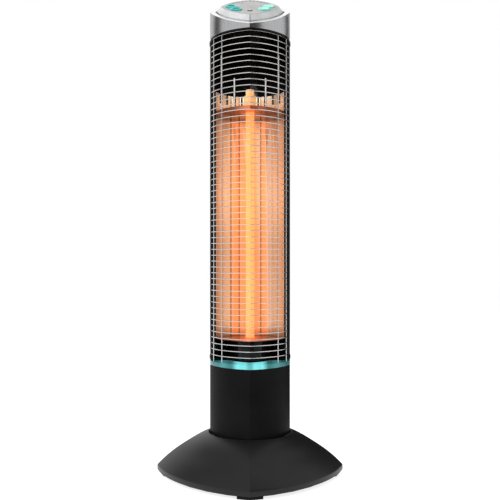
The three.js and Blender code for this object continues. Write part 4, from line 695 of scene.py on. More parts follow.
# Two shades, roughness, grain, bump and other sockets
PLAIN_FINISHES = {
    "satin_black_plastic": (
        (0.006, 0.006, 0.0065), (0.009, 0.009, 0.0095), (0.4, 0.5), (60, 0.5), 0.2, specular(0.03),
    ),
    "satin_black_base": (
        (0.004, 0.004, 0.0045), (0.006, 0.006, 0.0065), (0.36, 0.44), (60, 0.5), 0.2, specular(0.3),
    ),
    "gloss_black_enamel": (
        (0.004, 0.004, 0.0045), (0.008, 0.008, 0.009), (0.12, 0.2), (80, 3), 0.05, specular(0.12),
    ),
    "glossy_interior": (
        (0.004, 0.004, 0.0045), (0.007, 0.007, 0.0075), (0.05, 0.1), (80, 4), 0.02, {},
    ),
    "foot_rubber": (
        (0.008, 0.008, 0.0085), (0.014, 0.014, 0.0145), (0.7, 0.9), (12, 0.5), 0.6, specular(0.15),
    ),
    "painted_steel": (
        (0.014, 0.014, 0.016), (0.022, 0.022, 0.024), (0.4, 0.6), (50, 0.8), 0.5, specular(0.25),
    ),
    "zinc_steel": ((0.42, 0.43, 0.45), (0.58, 0.59, 0.6), (0.28, 0.45), (6, 0.6), 0.2, METAL),
    "natural_plastic": ((0.66, 0.63, 0.56), (0.76, 0.74, 0.68), (0.4, 0.55), (15, 0.8), 0.2, {}),
    "circuit_board": ((0.008, 0.05, 0.022), (0.02, 0.13, 0.055), (0.25, 0.45), (2.5, 0.6), 0.3, {}),
    "copper_winding": (
        (0.30, 0.09, 0.03), (0.62, 0.24, 0.09), (0.25, 0.4), (3, 0.7), 0.8,
        {"stretch": (0.2, 0.2, 3), "Metallic": 0.8},
    ),
    "plain_aluminium": (
        (0.46, 0.47, 0.48), (0.6, 0.61, 0.62), (0.3, 0.42), (8, 0.5), 0.2,
        {**METAL, "stretch": (3, 3, 0.3)},
    ),
    "chromed_wire": ((0.56, 0.55, 0.54), (0.66, 0.65, 0.64), (0.12, 0.22), (20, 1.5), 0.1, METAL),
    "brushed_silver": (
        (0.41, 0.412, 0.418), (0.45, 0.453, 0.46), (0.25, 0.29), (4, 0.6), 0.02,
        {**METAL, "stretch": (2.5, 2.5, 0.06)},
    ),
    # Painted highlight: a much brighter silver for the head's upward faces
    "silver_painted_highlight": (
        (0.93, 0.932, 0.935), (0.97, 0.972, 0.975), (0.2, 0.26), (12, 3), 0.01, METAL,
    ),
    # Painted highlight: a flat near-white for the aluminium strips
    "strip_painted_highlight": ((0.8, 0.79, 0.78), (0.9, 0.89, 0.88), (0.3, 0.4), (6, 0.6), 0.05, {}),
    "light_grey_plastic": (
        (0.5, 0.505, 0.51), (0.58, 0.585, 0.59), (0.3, 0.4), (14, 0.6), 0.12,
        {**specular(0.3), "Metallic": 0.2},
    ),
    "panel_grey_plastic": (
        (0.29, 0.288, 0.285), (0.36, 0.357, 0.353), (0.5, 0.62), (10, 0.5), 0.2, specular(0.1),
    ),
    "smoked_window": (
        (0.006, 0.006, 0.008), (0.016, 0.014, 0.018), (0.2, 0.3), (6, 2), 0.03, specular(0.2),
    ),
    "teal_button": (
        (0.015, 0.36, 0.34), (0.06, 0.54, 0.50), (0.14, 0.24), (8, 1.2), 0.08,
        {**SOFT_BUTTON, "Subsurface_Radius": (0.2, 1.0, 1.0)},
    ),
    # Painted shade in the dishes of the left buttons
    "teal_dish_painted_shade": ((0.0, 0.09, 0.09), (0.01, 0.15, 0.145), (0.2, 0.3), (6, 1), 0.05, specular(0.3)),
    "mint_button": (
        (0.22, 0.62, 0.52), (0.34, 0.74, 0.64), (0.14, 0.24), (8, 1.2), 0.08,
        {**SOFT_BUTTON, "Subsurface_Radius": (0.4, 1.0, 1.0)},
    ),
    # Painted light: the ceramic caps' orange colour stands for the tube's light on white ceramic
    "white_ceramic": ((0.72, 0.44, 0.2), (0.86, 0.6, 0.32), (0.5, 0.7), (8, 0.7), 0.3, {}),
    "quartz_glass": (
        (0.9, 0.36, 0.1), (0.96, 0.44, 0.14), (0.05, 0.14), (40, 3), 0.05,
        {"Transmission_Weight": 0.3, "IOR": 1.46},
    ),
    "glowing_carbon": ((0.9, 0.4, 0.1), (1.0, 0.55, 0.2), (0.6, 0.8), (6, 0.6), 0.4, {}),
    "dark_card": ((0.01, 0.01, 0.01), (0.014, 0.014, 0.014), (0.8, 0.9), (200, 20), 0.0, {}),
}
finishes = {
    name: surface(name, *look, **sockets)
    for name, (*look, sockets) in PLAIN_FINISHES.items()
}
# Painted shade down the ridges of the silver head and the bezel
with_painted_ridge_shade(finishes["brushed_silver"])
with_painted_ridge_shade(finishes["light_grey_plastic"])
# Painted glow on the ceramic caps, standing for the tube's light on them
glow(finishes["white_ceramic"], (0.9, 0.3, 0.06), (1.0, 0.48, 0.14), 0.45, 20)
glow(
    finishes["quartz_glass"], (0.94, 0.42, 0.12), (1.0, 0.5, 0.16), 0.55, 18,
    stretch=(1, 1, 0.3),
)
glow(finishes["glowing_carbon"], (1.0, 0.42, 0.1), (1.0, 0.6, 0.25), 0.6, 10)
finishes["polished_reflector"] = reflector_finish()
finishes["teal_light_plastic"] = ring_finish()
finishes["plate_painted_glow"] = plate_finish()

slot_of = {row["node"]: row["material_slot"] for row in frame["record"]["subparts"]}
for node, cad_object in frame["nodes"].items():
    cad_object.data.materials.clear()
    finish = "painted_steel" if node.startswith("head_screw") else slot_of[node]
    cad_object.data.materials.append(finishes[finish])


def stand_for(piece, node, body="column", finish=None):
    """The piece takes a CAD node's place: its body and its finish."""
    slot = slot_of[node]
    piece.data.materials.clear()
    piece.data.materials.append(finishes[finish or slot])
    piece.data.polygons.foreach_set("material_index", [0] * len(piece.data.polygons))
    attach(piece, body)
    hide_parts(node)
    return piece


def added(piece, slot, finish=None):
    """The piece is fine detail of the column that stands for no CAD node."""
    piece.data.materials.append(finishes[finish or slot])
    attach(piece, "column")
    return piece


def second_finish(piece, finish, chosen):
    """Gives another finish to the faces that are chosen."""
    piece.data.materials.append(finishes[finish])
    for face in piece.data.polygons:
        if chosen(face):
            face.material_index = 1
    return piece


# ---------------- base


def dome_arc():
    """Centre and radius of the dome's profile, and where it starts and ends."""
    start = Vector((WELL_RADIUS + WELL_LIP, WELL_RIM))
    end = Vector((BASE_HALF_WIDTH, RIM_TOP))
    chord = end - start
    radius = ((chord.length / 2) ** 2 + DOME_BOW**2) / (2 * DOME_BOW)
    inward = Vector((chord.y, -chord.x)).normalized()
    return (start + end) / 2 + inward * (radius - DOME_BOW), radius, start.x, end.x


def arc_stations(centre, radius, from_x, to_x):
    """Even stations of (half-width, height) along the dome's profile."""
    first = math.acos((from_x - centre.x) / radius)
    last = math.acos((to_x - centre.x) / radius)
    angles = [first + (last - first) * step / DOME_STEPS for step in range(DOME_STEPS + 1)]
    return [(centre.x + radius * math.cos(a), centre.y + radius * math.sin(a)) for a in angles]


def dome_ring(corner_radius, height):
    """Round near the well, and a bowed square near the rim."""
    lip = WELL_RADIUS + WELL_LIP
    full = BASE_HALF_WIDTH - SQUARE_RIM_WIDTH
    share = min(max((corner_radius - lip) / (full - lip), 0.0), 1.0)
    squareness = share * share * (3 - 2 * share)
    ring = []
    for point in section(corner_radius):
        round_point = point.normalized() * corner_radius
        ring.append(round_point.lerp(point, squareness))
    return at_level(ring, height)


def along_y(piece):
    """Turns a piece made about Z so that its axis runs along Y, at the inlet's height."""
    turn = Matrix.Rotation(-math.pi / 2, 4, "X")
    piece.data.transform(Matrix.Translation((0, 0, INLET_HEIGHT * MM)) @ turn)
    return piece


def rod(name, radius, bottom, top, sides=32):
    return turned(name, [(0, bottom), (radius, bottom), (radius, top), (0, top)], sides)


def base_shell():
    shell_bottom = levels("base_shell")[0]
    centre, radius, lip_x, rim_x = dome_arc()
    inner_rim = BASE_HALF_WIDTH - SHELL_WALL
    well_under = WELL_FLOOR - SHELL_WALL
    well_outside = WELL_RADIUS + SHELL_WALL
    outside = arc_stations(centre, radius, rim_x, lip_x)
    inside = arc_stations(centre, radius - SHELL_WALL, well_outside, inner_rim)
    rim = open_rounded([
        (inner_rim, shell_bottom + 2), (inner_rim, shell_bottom),
        (BASE_HALF_WIDTH, shell_bottom), outside[0], outside[1],
    ], 1.4)
    well = open_rounded([
        outside[-2], outside[-1], (WELL_RADIUS, WELL_RIM), (WELL_RADIUS, WELL_FLOOR),
        (SPINDLE_HOLE, WELL_FLOOR), (SPINDLE_HOLE, well_under), (well_outside, well_under),
        inside[0],
    ], 0.9)
    stations = rim[1:-1] + outside[1:-2] + well[1:-1] + inside[:-1]
    shell = loft("base_dome", [dome_ring(x, z) for x, z in stations], sharp=DOME_SHARP)
    boss = along_y(rod("boss", INLET_BOSS, INLET_BOSS_BACK, INLET_BOSS_FACE, 30))
    combine(shell, [boss], "UNION")
    recess, bore = INLET_FLANGE + SEAT, INLET_SLEEVE + SEAT
    start, end = INLET_BOSS_BACK - 2, BASE_HALF_WIDTH + 3
    combine(shell, [along_y(turned("inlet_hole", [
        (0, start), (bore, start), (bore, INLET_BOSS_FACE), (recess, INLET_BOSS_FACE),
        (recess, end), (0, end),
    ], 30))])
    baked(shell, DOME_SHARP)
    return stand_for(shell, "base_shell", "base", "satin_black_base")


def cable_inlet():
    face = INLET_BOSS_FACE + SEAT
    front = face + INLET_FLANGE_THICKNESS
    profile = rounded([
        (INLET_BORE, INLET_BOSS_BACK), (INLET_SLEEVE, INLET_BOSS_BACK), (INLET_SLEEVE, face),
        (INLET_FLANGE, face), (INLET_FLANGE, front), (INLET_BORE, front),
    ], 0.6)
    piece = along_y(turned("inlet_grommet", profile, closed=True))
    return stand_for(piece, "cable_inlet", "base")


base_shell()
cable_inlet()


# ---------------- lower column


def lower_housing():
    bottom, top = levels("lower_housing")
    inner = COLUMN_HALF_WIDTH - HOUSING_WALL
    outside = open_rounded(wall(inner, COLUMN_HALF_WIDTH, bottom, top), 2.4, 6)
    edge = [p for p in outside if p[1] < bottom + 5]
    upper = open_rounded([
        (COLUMN_HALF_WIDTH, top - 5), (COLUMN_HALF_WIDTH, top), (inner, top), (inner, bottom),
    ], 0.5)
    stations = [(inner, bottom)] + edge[1:] + upper[1:-1]
    rings = [at_level(section(half), height) for half, height in stations]
    return stand_for(loft("lower_casing", rings), "lower_housing")


def light_ring():
    top = levels("light_ring")[1]
    stations = rounded(wall(RING_OPENING, COLUMN_HALF_WIDTH, RING_BOTTOM, top), 1.2)
    rings = [at_level(section(half), height) for half, height in stations]
    return stand_for(loft("teal_ring", rings), "light_ring")


def chamber_floor():
    """A thin black sheet that lies on the teal ring and leaves its front free."""
    bottom = levels("light_ring")[1]
    top = levels("pedestal")[0]
    rear = run_where(section(CHAMBER_FLOOR_HALF_WIDTH), lambda p: p.y)
    front = run_where(section(CHAMBER_FLOOR_FRONT), lambda p: -p.y)
    return added(prism("chamber_floor", rear + front, bottom, top), "gloss_black_enamel")


lower_housing()
light_ring()
chamber_floor()


# ---------------- heating chamber


def pedestal():
    bottom, top = levels("pedestal")
    rings = []
    profile = wall(CAP_RADIUS + SEAT, PEDESTAL_HALF_WIDTH, bottom, top)
    for half, height in rounded(profile, 1.2):
        share = (half - CAP_RADIUS) / (PEDESTAL_HALF_WIDTH - CAP_RADIUS)
        ring = []
        for point in section(half):
            ring.append((point.normalized() * half).lerp(point, min(max(share * 2, 0), 1)))
        rings.append(at_level(ring, height))
    return stand_for(loft("tube_pedestal", rings), "pedestal")


def reflector_line(offset):
    right = [Vector(fold) for fold in REFLECTOR_FOLDS]
    left = [Vector((-p.x, p.y)) for p in reversed(right)]
    return moved(left + right, offset)


def reflector():
    bottom, top = levels("reflector")
    half = REFLECTOR_SHEET / 2
    outline = reflector_line(half) + list(reversed(reflector_line(-half)))
    sheet = prism("heat_reflector", outline, bottom, top)
    slots = []
    for place in REFLECTOR_SLOT_PLACES:
        for side in (-1, 1):
            size = (REFLECTOR_SLOT_WIDTH, COLUMN_HALF_WIDTH, REFLECTOR_SLOT_DEPTH + 4)
            slot_place = (side * place, COLUMN_HALF_WIDTH / 2, top - REFLECTOR_SLOT_DEPTH)
            slots.append(box_body("slot", size, slot_place))
    combine(sheet, [joined("slots", slots)])
    return stand_for(bevelled(sheet, 0.25, 1), "reflector")


def finished_plate(sheet, node):
    """Cuts the tube's hole in a plate of the chamber and bevels its edges."""
    bottom, top = levels(node)
    combine(sheet, [rod("hole", TUBE_RADIUS + SEAT, bottom - 2, top + 2, 48)])
    return stand_for(bevelled(sheet, 0.3), node, finish="plate_painted_glow")


def bottom_plate():
    bottom, top = levels("bottom_plate")
    front = run_where(section(PLATE_HALF_WIDTH), lambda p: BOTTOM_PLATE_BACK - p.y)
    sheet = prism("lower_plate", front, bottom, top)
    return finished_plate(sheet, "bottom_plate")


def top_plate():
    """A tray upside down: its front edge turns down, and its back follows the reflector."""
    bottom, top = levels("top_plate")
    back_y = REFLECTOR_FOLDS[-1][1]

    def tray(half, low, high, name):
        outline = run_where(section(half), lambda p: back_y - p.y)
        back = [p for p in reflector_line(REFLECTOR_SHEET / 2 + SEAT) if abs(p.x) < half - 1]
        return prism(name, outline + list(reversed(back)), low, high)

    sheet = tray(PLATE_HALF_WIDTH, bottom, top, "upper_plate")
    inside = tray(PLATE_HALF_WIDTH - PLATE_SHEET, bottom - 2, top - PLATE_SHEET, "inside")
    combine(sheet, [inside])
    return finished_plate(sheet, "top_plate")


def quartz_tube():
    bottom, top = levels("quartz_tube")
    profile = rounded(wall(TUBE_RADIUS - TUBE_WALL, TUBE_RADIUS, bottom, top), 0.5)
    return stand_for(turned("heating_tube", profile, closed=True), "quartz_tube")


def filament():
    low, high = levels("quartz_tube")
    rings = []
    for step in range(FILAMENT_STEPS + 1):
        share = step / FILAMENT_STEPS
        angle = -2 * math.pi * FILAMENT_TURNS * share
        ring = []
        for across, through in ((-1, -1), (1, -1), (1, 1), (-1, 1)):
            x = across * FILAMENT_WIDTH / 2
            y = through * FILAMENT_THICKNESS / 2
            ring.append((
                x * math.cos(angle) - y * math.sin(angle),
                x * math.sin(angle) + y * math.cos(angle),
                low + (high - low) * share,
            ))
        rings.append(ring)
    return stand_for(loft("carbon_ribbon", rings, closed=False), "filament")


def ceramic_caps():
    bottom, top = levels("lower_ceramic_cap")
    bore = TUBE_RADIUS + SEAT
    corners = [(bore, bottom + 1), (CAP_RADIUS, bottom), (CAP_RADIUS, top), (bore, top)]
    profile = rounded(corners, 1.0)
    stand_for(turned("lower_cap", profile, closed=True), "lower_ceramic_cap")
    bottom, top = levels("upper_ceramic_cap")
    step = bottom + CAP_STEP
    bore_end = bottom + CAP_BORE_DEPTH
    profile = open_rounded([
        (0, bore_end), (bore, bore_end), (bore, bottom), (CAP_RADIUS, bottom),
        (CAP_RADIUS, step), (CAP_NARROW_RADIUS, step), (CAP_NARROW_RADIUS, top), (0, top),
    ], 1.0)
    stand_for(turned("upper_cap", profile), "upper_ceramic_cap")


def hanger_strips():
    """Aluminium strips that stand on the top plate, behind the grille's uprights; their near-white
    colour is a painted highlight.
    """
    bottom = levels("top_plate")[1]
    for x, y, height in HANGER_PLACES:
        for side, hand in ((-1, "left"), (1, "right")):
            size = (*HANGER_SIZE, height)
            piece = box_body(f"hanger_{x:.0f}_{hand}", size, (side * x, y, bottom), 0.3)
            added(piece, "plain_aluminium", "strip_painted_highlight")


pedestal()
reflector()
bottom_plate()
top_plate()
quartz_tube()
filament()
ceramic_caps()
hanger_strips()


# ---------------- rear housing and grille


def corner_slice(name, side, inner, outer, reach, bottom, top, bevel=0.0):
    def near_corner(point):
        return reach - abs(point.y) if point.x * side > 0 else -1.0

    out = run_where(section(outer), near_corner)
    within = run_where(section(inner), near_corner)
    return prism(name, out + list(reversed(within)), bottom, top, bevel)


def vent_cutter(side, bottom):
    """A long slot with round ends, through one of the two rear sides."""
    distance = COLUMN_HALF_WIDTH * (math.sqrt(0.5) + SIDE_BULGE)
    radius = VENT_HEIGHT / 2
    outline = []
    for end in (1, -1):
        for step in range(9):
            angle = math.pi * (step / 8 - end / 2)
            across = end * (VENT_WIDTH / 2 - radius) + radius * math.cos(angle)
            outline.append(Vector((across, radius * math.sin(angle))))
    cutter = prism("vent", outline, -12, 12)
    upright = Matrix.Rotation(math.pi / 2, 4, "X")
    place = Matrix.Translation((0, distance * MM, (bottom + radius) * MM))
    turn = Matrix.Rotation(side * math.pi / 4, 4, "Z")
    cutter.data.transform(turn @ place @ upright)
    return cutter


def rear_housing():
    bottom = levels("light_ring")[1]
    top = levels("head_floor")[0]
    inner = COLUMN_HALF_WIDTH - HOUSING_WALL

    def behind(point):
        return point.y + POST_WRAP

    out = run_where(section(COLUMN_HALF_WIDTH), behind)
    within = run_where(section(inner), behind)
    shell = prism("rear_casing", out + list(reversed(within)), bottom, top, 0.6)
    reflector_bottom, reflector_top = levels("reflector")
    highest = reflector_top - VENT_MARGIN - VENT_HEIGHT
    lowest = reflector_bottom + VENT_MARGIN
    cutters = []
    for side in (-1, 1):
        cutters += [vent_cutter(side, highest - VENT_PITCH * i) for i in range(UPPER_VENTS)]
        cutters += [vent_cutter(side, lowest + VENT_PITCH * i) for i in range(LOWER_VENTS)]
        for level in ("upper", "lower"):
            low, high = levels(f"{level}_clip_left")
            cutters.append(corner_slice(
                "rebate", side, COLUMN_HALF_WIDTH - CLIP_DEPTH, COLUMN_HALF_WIDTH + 2,
                CLIP_REACH + SEAT, low - SEAT, high + SEAT,
            ))
    combine(shell, [joined("cutters", cutters)])
    stand_for(shell, "rear_housing")

    def inside(face):
        return face.center.xy.dot(face.normal.xy) < 0

    return second_finish(shell, "glossy_interior", inside)


def corner_clips():
    for side, hand in ((-1, "left"), (1, "right")):
        for level in ("upper", "lower"):
            node = f"{level}_clip_{hand}"
            low, high = levels(node)
            piece = corner_slice(
                f"{level}_corner_{hand}", side, COLUMN_HALF_WIDTH - CLIP_DEPTH + SEAT,
                COLUMN_HALF_WIDTH + CLIP_PROUD, CLIP_REACH, low, high, 0.5,
            )
            stand_for(piece, node)


def grille_line():
    post_y = -(POST_WRAP + WIRE_SIZE / 2)
    return run_where(section(WIRE_HALF_WIDTH, trim=WIRE_TRIM), lambda p: post_y - p.y)


def cross_wire(line, height, radius):
    """One round wire along the grille's line."""
    tangents = [(b - a).normalized() for a, b in zip(line, line[1:])]
    rings = []
    for i, point in enumerate(line):
        along = (tangents[max(i - 1, 0)] + tangents[min(i, len(tangents) - 1)]).normalized()
        outward = Vector((along.y, -along.x))
        ring = []
        for side in range(WIRE_SIDES):
            angle = 2 * math.pi * side / WIRE_SIDES
            spot = point + outward * (radius * math.cos(angle))
            ring.append((spot.x, spot.y, height + radius * math.sin(angle)))
        rings.append(ring)
    return loft("wire", rings, closed=False, sharp=WIRE_SHARP)


def upright_wire(line, x, bottom, top, radius):
    after = next(i for i, point in enumerate(line) if point.x >= x)
    start, end = line[after - 1], line[after]
    place = start.lerp(end, (x - start.x) / (end.x - start.x))
    along = (end - start).normalized()
    place += Vector((-along.y, along.x)) * (2 * WIRE_RADIUS - WELD_DEPTH)
    return shifted(rod("upright", radius, bottom, top, 12), place.x, place.y)


def front_grille():
    bottom, top = levels("rear_housing")
    line = grille_line()
    lowest = bottom + LOWEST_WIRE
    highest = top - WIRE_SIZE / 2
    wires = [upright_wire(line, x, bottom, top, WIRE_RADIUS) for x in UPRIGHT_PLACES]
    for i in range(WIRE_COUNT):
        height = lowest + (highest - lowest) * i / (WIRE_COUNT - 1)
        wires.append(cross_wire(line, height, WIRE_RADIUS))
    grille = stand_for(joined("wire_grille", wires), "front_grille")
    # Painted shade: the topmost wire, under the head, is gloss black except on its upper faces
    painted_shade_from = (highest - WIRE_SIZE) * MM

    def in_painted_shade(face):
        return face.center.z > painted_shade_from and face.normal.z < 0.7

    return second_finish(grille, "gloss_black_enamel", in_painted_shade)


rear_housing()
corner_clips()
front_grille()


# ---------------- head


def grooved(ring):
    """A fine groove where the outline turns at the front ridge."""
    front = min(range(len(ring)), key=lambda i: ring[i].y)
    shaped = [p.copy() for p in ring]
    shaped[front].y += RIDGE_GROOVE
    return shaped


def side_widened(ring, extra):
    """Moves an outline outwards at the two side corners, and not at the front and the rear."""
    half = max(p.x for p in ring)
    return [Vector((p.x * (1 + extra * (p.x / half) ** 4 / half), p.y)) for p in ring]


def slant_section(half):
    """The plan section as it lies in the plane of the slanted rim."""
    return section(half, 1 / math.cos(PANEL_TILT))


def slope_height(y):
    """Height of the slanted rim's plane over a place in plan."""
    return RIM_ON_AXIS + y * math.tan(PANEL_TILT)


def head_floor():
    bottom, top = levels("head_floor")
    piece = prism("head_underside", section(COLUMN_HALF_WIDTH - HEAD_FLOOR_INSET), bottom, top, 0.3)
    hole = shifted(rod("hole", LEAD_HOLE_RADIUS, bottom - 2, top + 2), 0, LEAD_HOLE_BACK)
    return stand_for(combine(piece, [hole]), "head_floor")


def head_shell():
    """Upright walls up to the slanted rim, and a flat lip that runs in round the bezel."""
    bottom = levels("head_shell")[0]
    inner = COLUMN_HALF_WIDTH - HEAD_WALL
    rise = math.cos(PANEL_TILT)

    def upright(half, drop):
        outline = section(half)
        if half > inner:
            outline = grooved(outline)
        elif half < inner:
            outline = side_widened(outline, SIDE_SEAM)
        return [(p.x, p.y, slope_height(p.y) - drop / rise) for p in outline]

    def foot(half, height):
        return at_level(grooved(section(half)) if half > inner else section(half), height)

    rings = [
        foot(inner, bottom), foot(COLUMN_HALF_WIDTH - 0.5, bottom),
        foot(COLUMN_HALF_WIDTH - 0.15, bottom + 0.15), foot(COLUMN_HALF_WIDTH, bottom + 0.5),
        *(upright(COLUMN_HALF_WIDTH - inwards, down) for inwards, down in HEAD_EDGE),
        upright(LIP_OPENING + 0.5, 0.0),
        upright(LIP_OPENING + 0.15, 0.15), upright(LIP_OPENING, 0.5),
        upright(LIP_OPENING, LIP_THICKNESS), upright(inner, LIP_THICKNESS),
    ]
    shell = stand_for(loft("silver_head", rings), "head_shell")
    # Painted highlight: the upward faces of the silver head get a much brighter silver
    return second_finish(shell, "silver_painted_highlight", lambda face: face.normal.z > 0.4)


def head_bezel():
    outer = LIP_OPENING - BEZEL_SEAM
    inside = outer - BEZEL_WALL
    recess = PANEL_HALF_WIDTH + SEAT
    ledge = BEZEL_RISE - PANEL_THICKNESS - SEAT
    flange_top = -LIP_THICKNESS - SEAT
    flange_edge = outer + BEZEL_FLANGE[0]
    flange_bottom = flange_top - BEZEL_FLANGE[1]
    ledge_edge = recess - BEZEL_LEDGE[0]
    ledge_bottom = ledge - BEZEL_LEDGE[1]
    profile = rounded([
        (inside, flange_bottom), (flange_edge, flange_bottom), (flange_edge, flange_top),
        (outer, flange_top), (outer, BEZEL_CHAMFER_START), (recess, BEZEL_RISE),
        (recess, ledge), (ledge_edge, ledge), (ledge_edge, ledge_bottom),
        (recess, ledge_bottom), (inside, -INNER_DROP),
    ], 0.5, 3)
    rings = []
    for half, height in profile:
        outline = slant_section(half)
        if height > flange_top:
            outline = grooved(outline)
        rings.append(at_level(outline, height))
    return stand_for(tilted(loft("panel_bezel", rings)), "head_bezel")


def seam_shade_strip():
    """A black strip in the seam between the bezel and the silver lip: painted shade in the seam."""
    inside = slant_section(LIP_OPENING - BEZEL_SEAM + 0.1)
    outside = side_widened(slant_section(LIP_OPENING - 0.1), SIDE_SEAM)
    low, high = SEAM_SHADE_LEVELS
    corners = ((inside, low), (outside, low), (outside, high), (inside, high))
    rings = [at_level(outline, height) for outline, height in corners]
    return added(tilted(loft("seam_shade_strip", rings)), "foot_rubber")


def mark_places():
    """Even places along the two rear edges of the panel, with the edge's direction."""
    rear = run_where(slant_section(PANEL_HALF_WIDTH - MARK_INSET), lambda p: p.y)
    lengths = np.cumsum([0.0] + [(b - a).length for a, b in zip(rear, rear[1:])])
    places = []
    for i in range(MARK_COUNT):
        share = MARKS_START + (1 - 2 * MARKS_START) * i / (MARK_COUNT - 1)
        at = share * lengths[-1]
        k = min(int(np.searchsorted(lengths, at)), len(rear) - 1)
        start, end = rear[k - 1], rear[k]
        spot = start.lerp(end, (at - lengths[k - 1]) / (lengths[k] - lengths[k - 1]))
        along = (end - start).normalized()
        places.append((spot, math.atan2(along.y, along.x)))
    return places


def placed_mark(name, size, height, spot, angle, bevel=0.0):
    """A small block along the panel's edge."""
    mark = box_body(name, size, (0, 0, height), bevel)
    turn = Matrix.Rotation(angle, 4, "Z")
    mark.data.transform(Matrix.Translation((spot.x * MM, spot.y * MM, 0)) @ turn)
    return mark


def control_panel():
    bottom = BEZEL_RISE - PANEL_THICKNESS
    plate = prism("panel_plate", slant_section(PANEL_HALF_WIDTH), bottom, BEZEL_RISE)
    cutters = []
    holes = [(place, BUTTON_RADIUS) for place in BUTTON_PLACES.values()]
    for (x, y), radius in holes + [(WINDOW_PLACE, WINDOW_RADIUS)]:
        hole = rod("hole", radius + SEAT, bottom - 1, BEZEL_RISE + 1, 48)
        cutters.append(shifted(hole, x, y))
    size = (*MARK_SIZE, MARK_DEPTH + 1)
    for spot, angle in mark_places():
        cutters.append(placed_mark("pocket", size, BEZEL_RISE - MARK_DEPTH, spot, angle))
    combine(plate, [joined("cutters", cutters)])
    bevelled(plate, 0.25)
    return stand_for(tilted(plate), "control_panel")


def mark_lenses():
    """Small dark lenses in the panel's pockets."""
    size = (MARK_SIZE[0] - 0.3, MARK_SIZE[1] - 0.3, MARK_DEPTH - 0.1)
    lenses = [
        placed_mark("lens", size, BEZEL_RISE - MARK_DEPTH, spot, angle, 0.1)
        for spot, angle in mark_places()
    ]
    return added(tilted(joined("panel_lenses", lenses)), "foot_rubber")


def at_panel(piece, place):
    return tilted(shifted(piece, *place))


# Faces of a button's dish that take the painted shade
def in_painted_dish_shade(face):
    reach = (BUTTON_RADIUS - DISH_INSET) * MM
    return face.center.z > BEZEL_RISE * MM and face.center.xy.length < reach


def buttons():
    top = BEZEL_RISE + BUTTON_PROUD
    flange_top = BEZEL_RISE - PANEL_THICKNESS - SEAT
    flange_edge = BUTTON_RADIUS + BUTTON_FLANGE[0]
    flange_bottom = flange_top - BUTTON_FLANGE[1]
    for node, place in BUTTON_PLACES.items():
        profile = open_rounded([
            (0, STEM_BOTTOM), (STEM_RADIUS, STEM_BOTTOM), (STEM_RADIUS, flange_bottom),
            (flange_edge, flange_bottom), (flange_edge, flange_top), (BUTTON_RADIUS, flange_top),
            (BUTTON_RADIUS, top - 0.1), (BUTTON_RADIUS - DISH_RIM, top - 0.1),
            (BUTTON_RADIUS - DISH_SLOPE, top - DISH_DEPTH), (0, top - DISH_DEPTH - 0.1),
        ], 1.3)
        cap = stand_for(turned(f"{node}_cap", profile, 56), node, node)
        # Painted shade in the dish of each left button
        if "left" in node:
            second_finish(cap, "teal_dish_painted_shade", in_painted_dish_shade)
        at_panel(cap, place)


def receiver_window():
    top = BEZEL_RISE + WINDOW_PROUD
    under = BEZEL_RISE - PANEL_THICKNESS - SEAT
    profile = open_rounded([
        (0, -INNER_DROP), (WINDOW_RADIUS - 2, -INNER_DROP), (WINDOW_RADIUS - 2, under),
        (WINDOW_RADIUS, under), (WINDOW_RADIUS, top - 0.4), (WINDOW_RADIUS - 1.2, top), (0, top),
    ], 0.5)
    piece = at_panel(turned("receiver_lens", profile, 40), WINDOW_PLACE)
    return stand_for(piece, "receiver_window")


def receiver_eye():
    """The pale dome in the middle of the receiver's window."""
    bottom = BEZEL_RISE + WINDOW_PROUD - 0.2
    profile = open_rounded([
        (0, bottom), (EYE_RADIUS, bottom), (EYE_RADIUS, bottom + 1.4), (0, bottom + 1.8),
    ], 1.0)
    piece = at_panel(turned("receiver_eye", profile, 32), WINDOW_PLACE)
    return added(piece, "natural_plastic")


head_floor()
head_shell()
head_bezel()
seam_shade_strip()
control_panel()
mark_lenses()
buttons()
receiver_window()
receiver_eye()


# ---------------- stage, light and camera


def stage_plane(name, size, place, turn, material):
    """A flat sheet of the studio, such as its floor or a card."""
    mesh = bpy.data.meshes.new(name)
    width, depth = size[0] / 2, size[1] / 2
    corners = [(-width, -depth, 0), (width, -depth, 0), (width, depth, 0), (-width, depth, 0)]
    mesh.from_pydata(corners, [], [(0, 1, 2, 3)])
    mesh.materials.append(material)
    plane = linked(name, mesh)
    plane.location = place
    plane.rotation_euler = turn
    return plane


def area_light(name, place, target, size, power):
    """A lamp, size in metres and power in watts, that metal and gloss don't mirror."""
    data = bpy.data.lights.new(name, "AREA")
    data.shape = "RECTANGLE"
    data.size, data.size_y = size
    data.energy = power
    light = linked(name, data)
    light.location = place
    direction = Vector(target) - Vector(place)
    light.rotation_euler = direction.to_track_quat("-Z", "Y").to_euler()
    light.visible_glossy = False


def seen_rays(nodes, links):
    """1 for what the camera sees, also by way of metal or glass, otherwise 0."""
    paths = nodes.new("ShaderNodeLightPath")
    total = paths.outputs["Is Camera Ray"]
    for name in ("Is Glossy Ray", "Is Transmission Ray"):
        total = math_node(nodes, links, "MAXIMUM", total, paths.outputs[name])
    return total


def pale_floor():
    """A matt pale floor that glows a little where it is seen, so that it meets the white."""
    material = surface(
        "pale_floor", (0.5, 0.5, 0.5), (0.54, 0.54, 0.54), (0.8, 0.9), (400, 30), 0.0,
        Specular_IOR_Level=0.0, Emission_Color=(1, 1, 1, 1),
    )
    nodes, links = tree(material)
    return lit_by(material, seen_rays(nodes, links), FLOOR_GLOW)


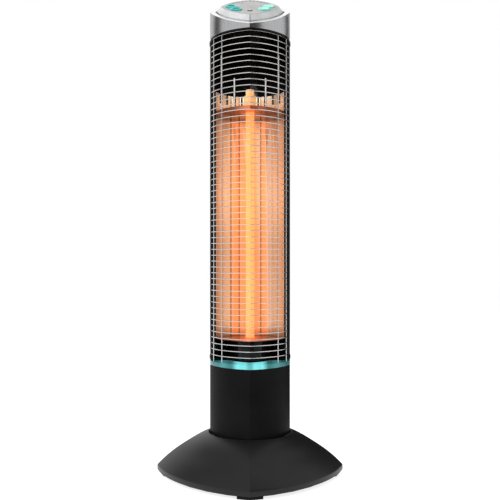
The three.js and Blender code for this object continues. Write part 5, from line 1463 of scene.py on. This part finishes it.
def studio_world():
    """White where it is seen, and an even, dimmer light on everything else."""
    world = bpy.data.worlds.new("studio")
    scene.world = world
    world.use_nodes = True
    nodes, links = tree(world)
    background = nodes["Background"]
    background.inputs["Color"].default_value = (1, 1, 1, 1)
    level = nodes.new("ShaderNodeMapRange")
    level.inputs["To Min"].default_value = WORLD_LEVEL
    level.inputs["To Max"].default_value = 1.0
    links.new(seen_rays(nodes, links), level.inputs["Value"])
    links.new(level.outputs["Result"], background.inputs["Strength"])


def mirrored_only(card):
    """A card out of the picture that only metal and gloss show."""
    card.visible_camera = False
    card.visible_diffuse = False
    card.visible_shadow = False


def dark_card(name, azimuth, distance, width, bottom, top):
    """An upright dark card beside the object."""
    turn = math.radians(azimuth)
    place = (distance * math.cos(turn), distance * math.sin(turn), (bottom + top) / 2)
    size = (width, top - bottom)
    upright = (math.pi / 2, 0, turn + math.pi / 2)
    mirrored_only(stage_plane(name, size, place, upright, finishes["dark_card"]))


stage_plane("floor", (14, 14), (0, 4.0, 0), (0, 0, 0), pale_floor())
studio_world()
dark_card("card_front_right", 303, 1.7, 1.1, 0.0, 4.5)
dark_card("card_rear_left", 161, 1.5, 0.6, 0.6, 4.0)
dark_card("card_rear_right", 37, 1.5, 0.5, 0.0, 4.0)
mirrored_only(stage_plane(
    "card_behind", (0.5, 0.6), (0.33, 0.34, 0.3), (math.pi / 2, 0, 0), finishes["dark_card"],
))

area_light("key_left", (-1.8, -1.0, 1.7), (0, 0, 0.4), (1.6, 1.6), 50)
area_light("fill_right", (1.8, -1.0, 1.2), (0, 0, 0.4), (1.4, 1.6), 14)
area_light("overhead", (0, -0.2, 2.4), (0, 0, 0), (1.8, 1.8), 24)
area_light("rear", (-1.0, 1.8, 1.2), (0, 0, 0.4), (1.2, 1.6), 14)

camera_data = bpy.data.cameras.new("photo_view")
camera_data.sensor_width = CAMERA_SENSOR
camera_data.sensor_fit = "HORIZONTAL"
camera_data.lens = CAMERA_LENS
camera_data.shift_y = CAMERA_SHIFT
camera = linked("photo_view", camera_data)
camera.location = (0, -CAMERA_DISTANCE, CAMERA_HEIGHT)
camera.rotation_euler = (math.pi / 2, 0, 0)
scene.camera = camera
scene.view_settings.view_transform = "Standard"
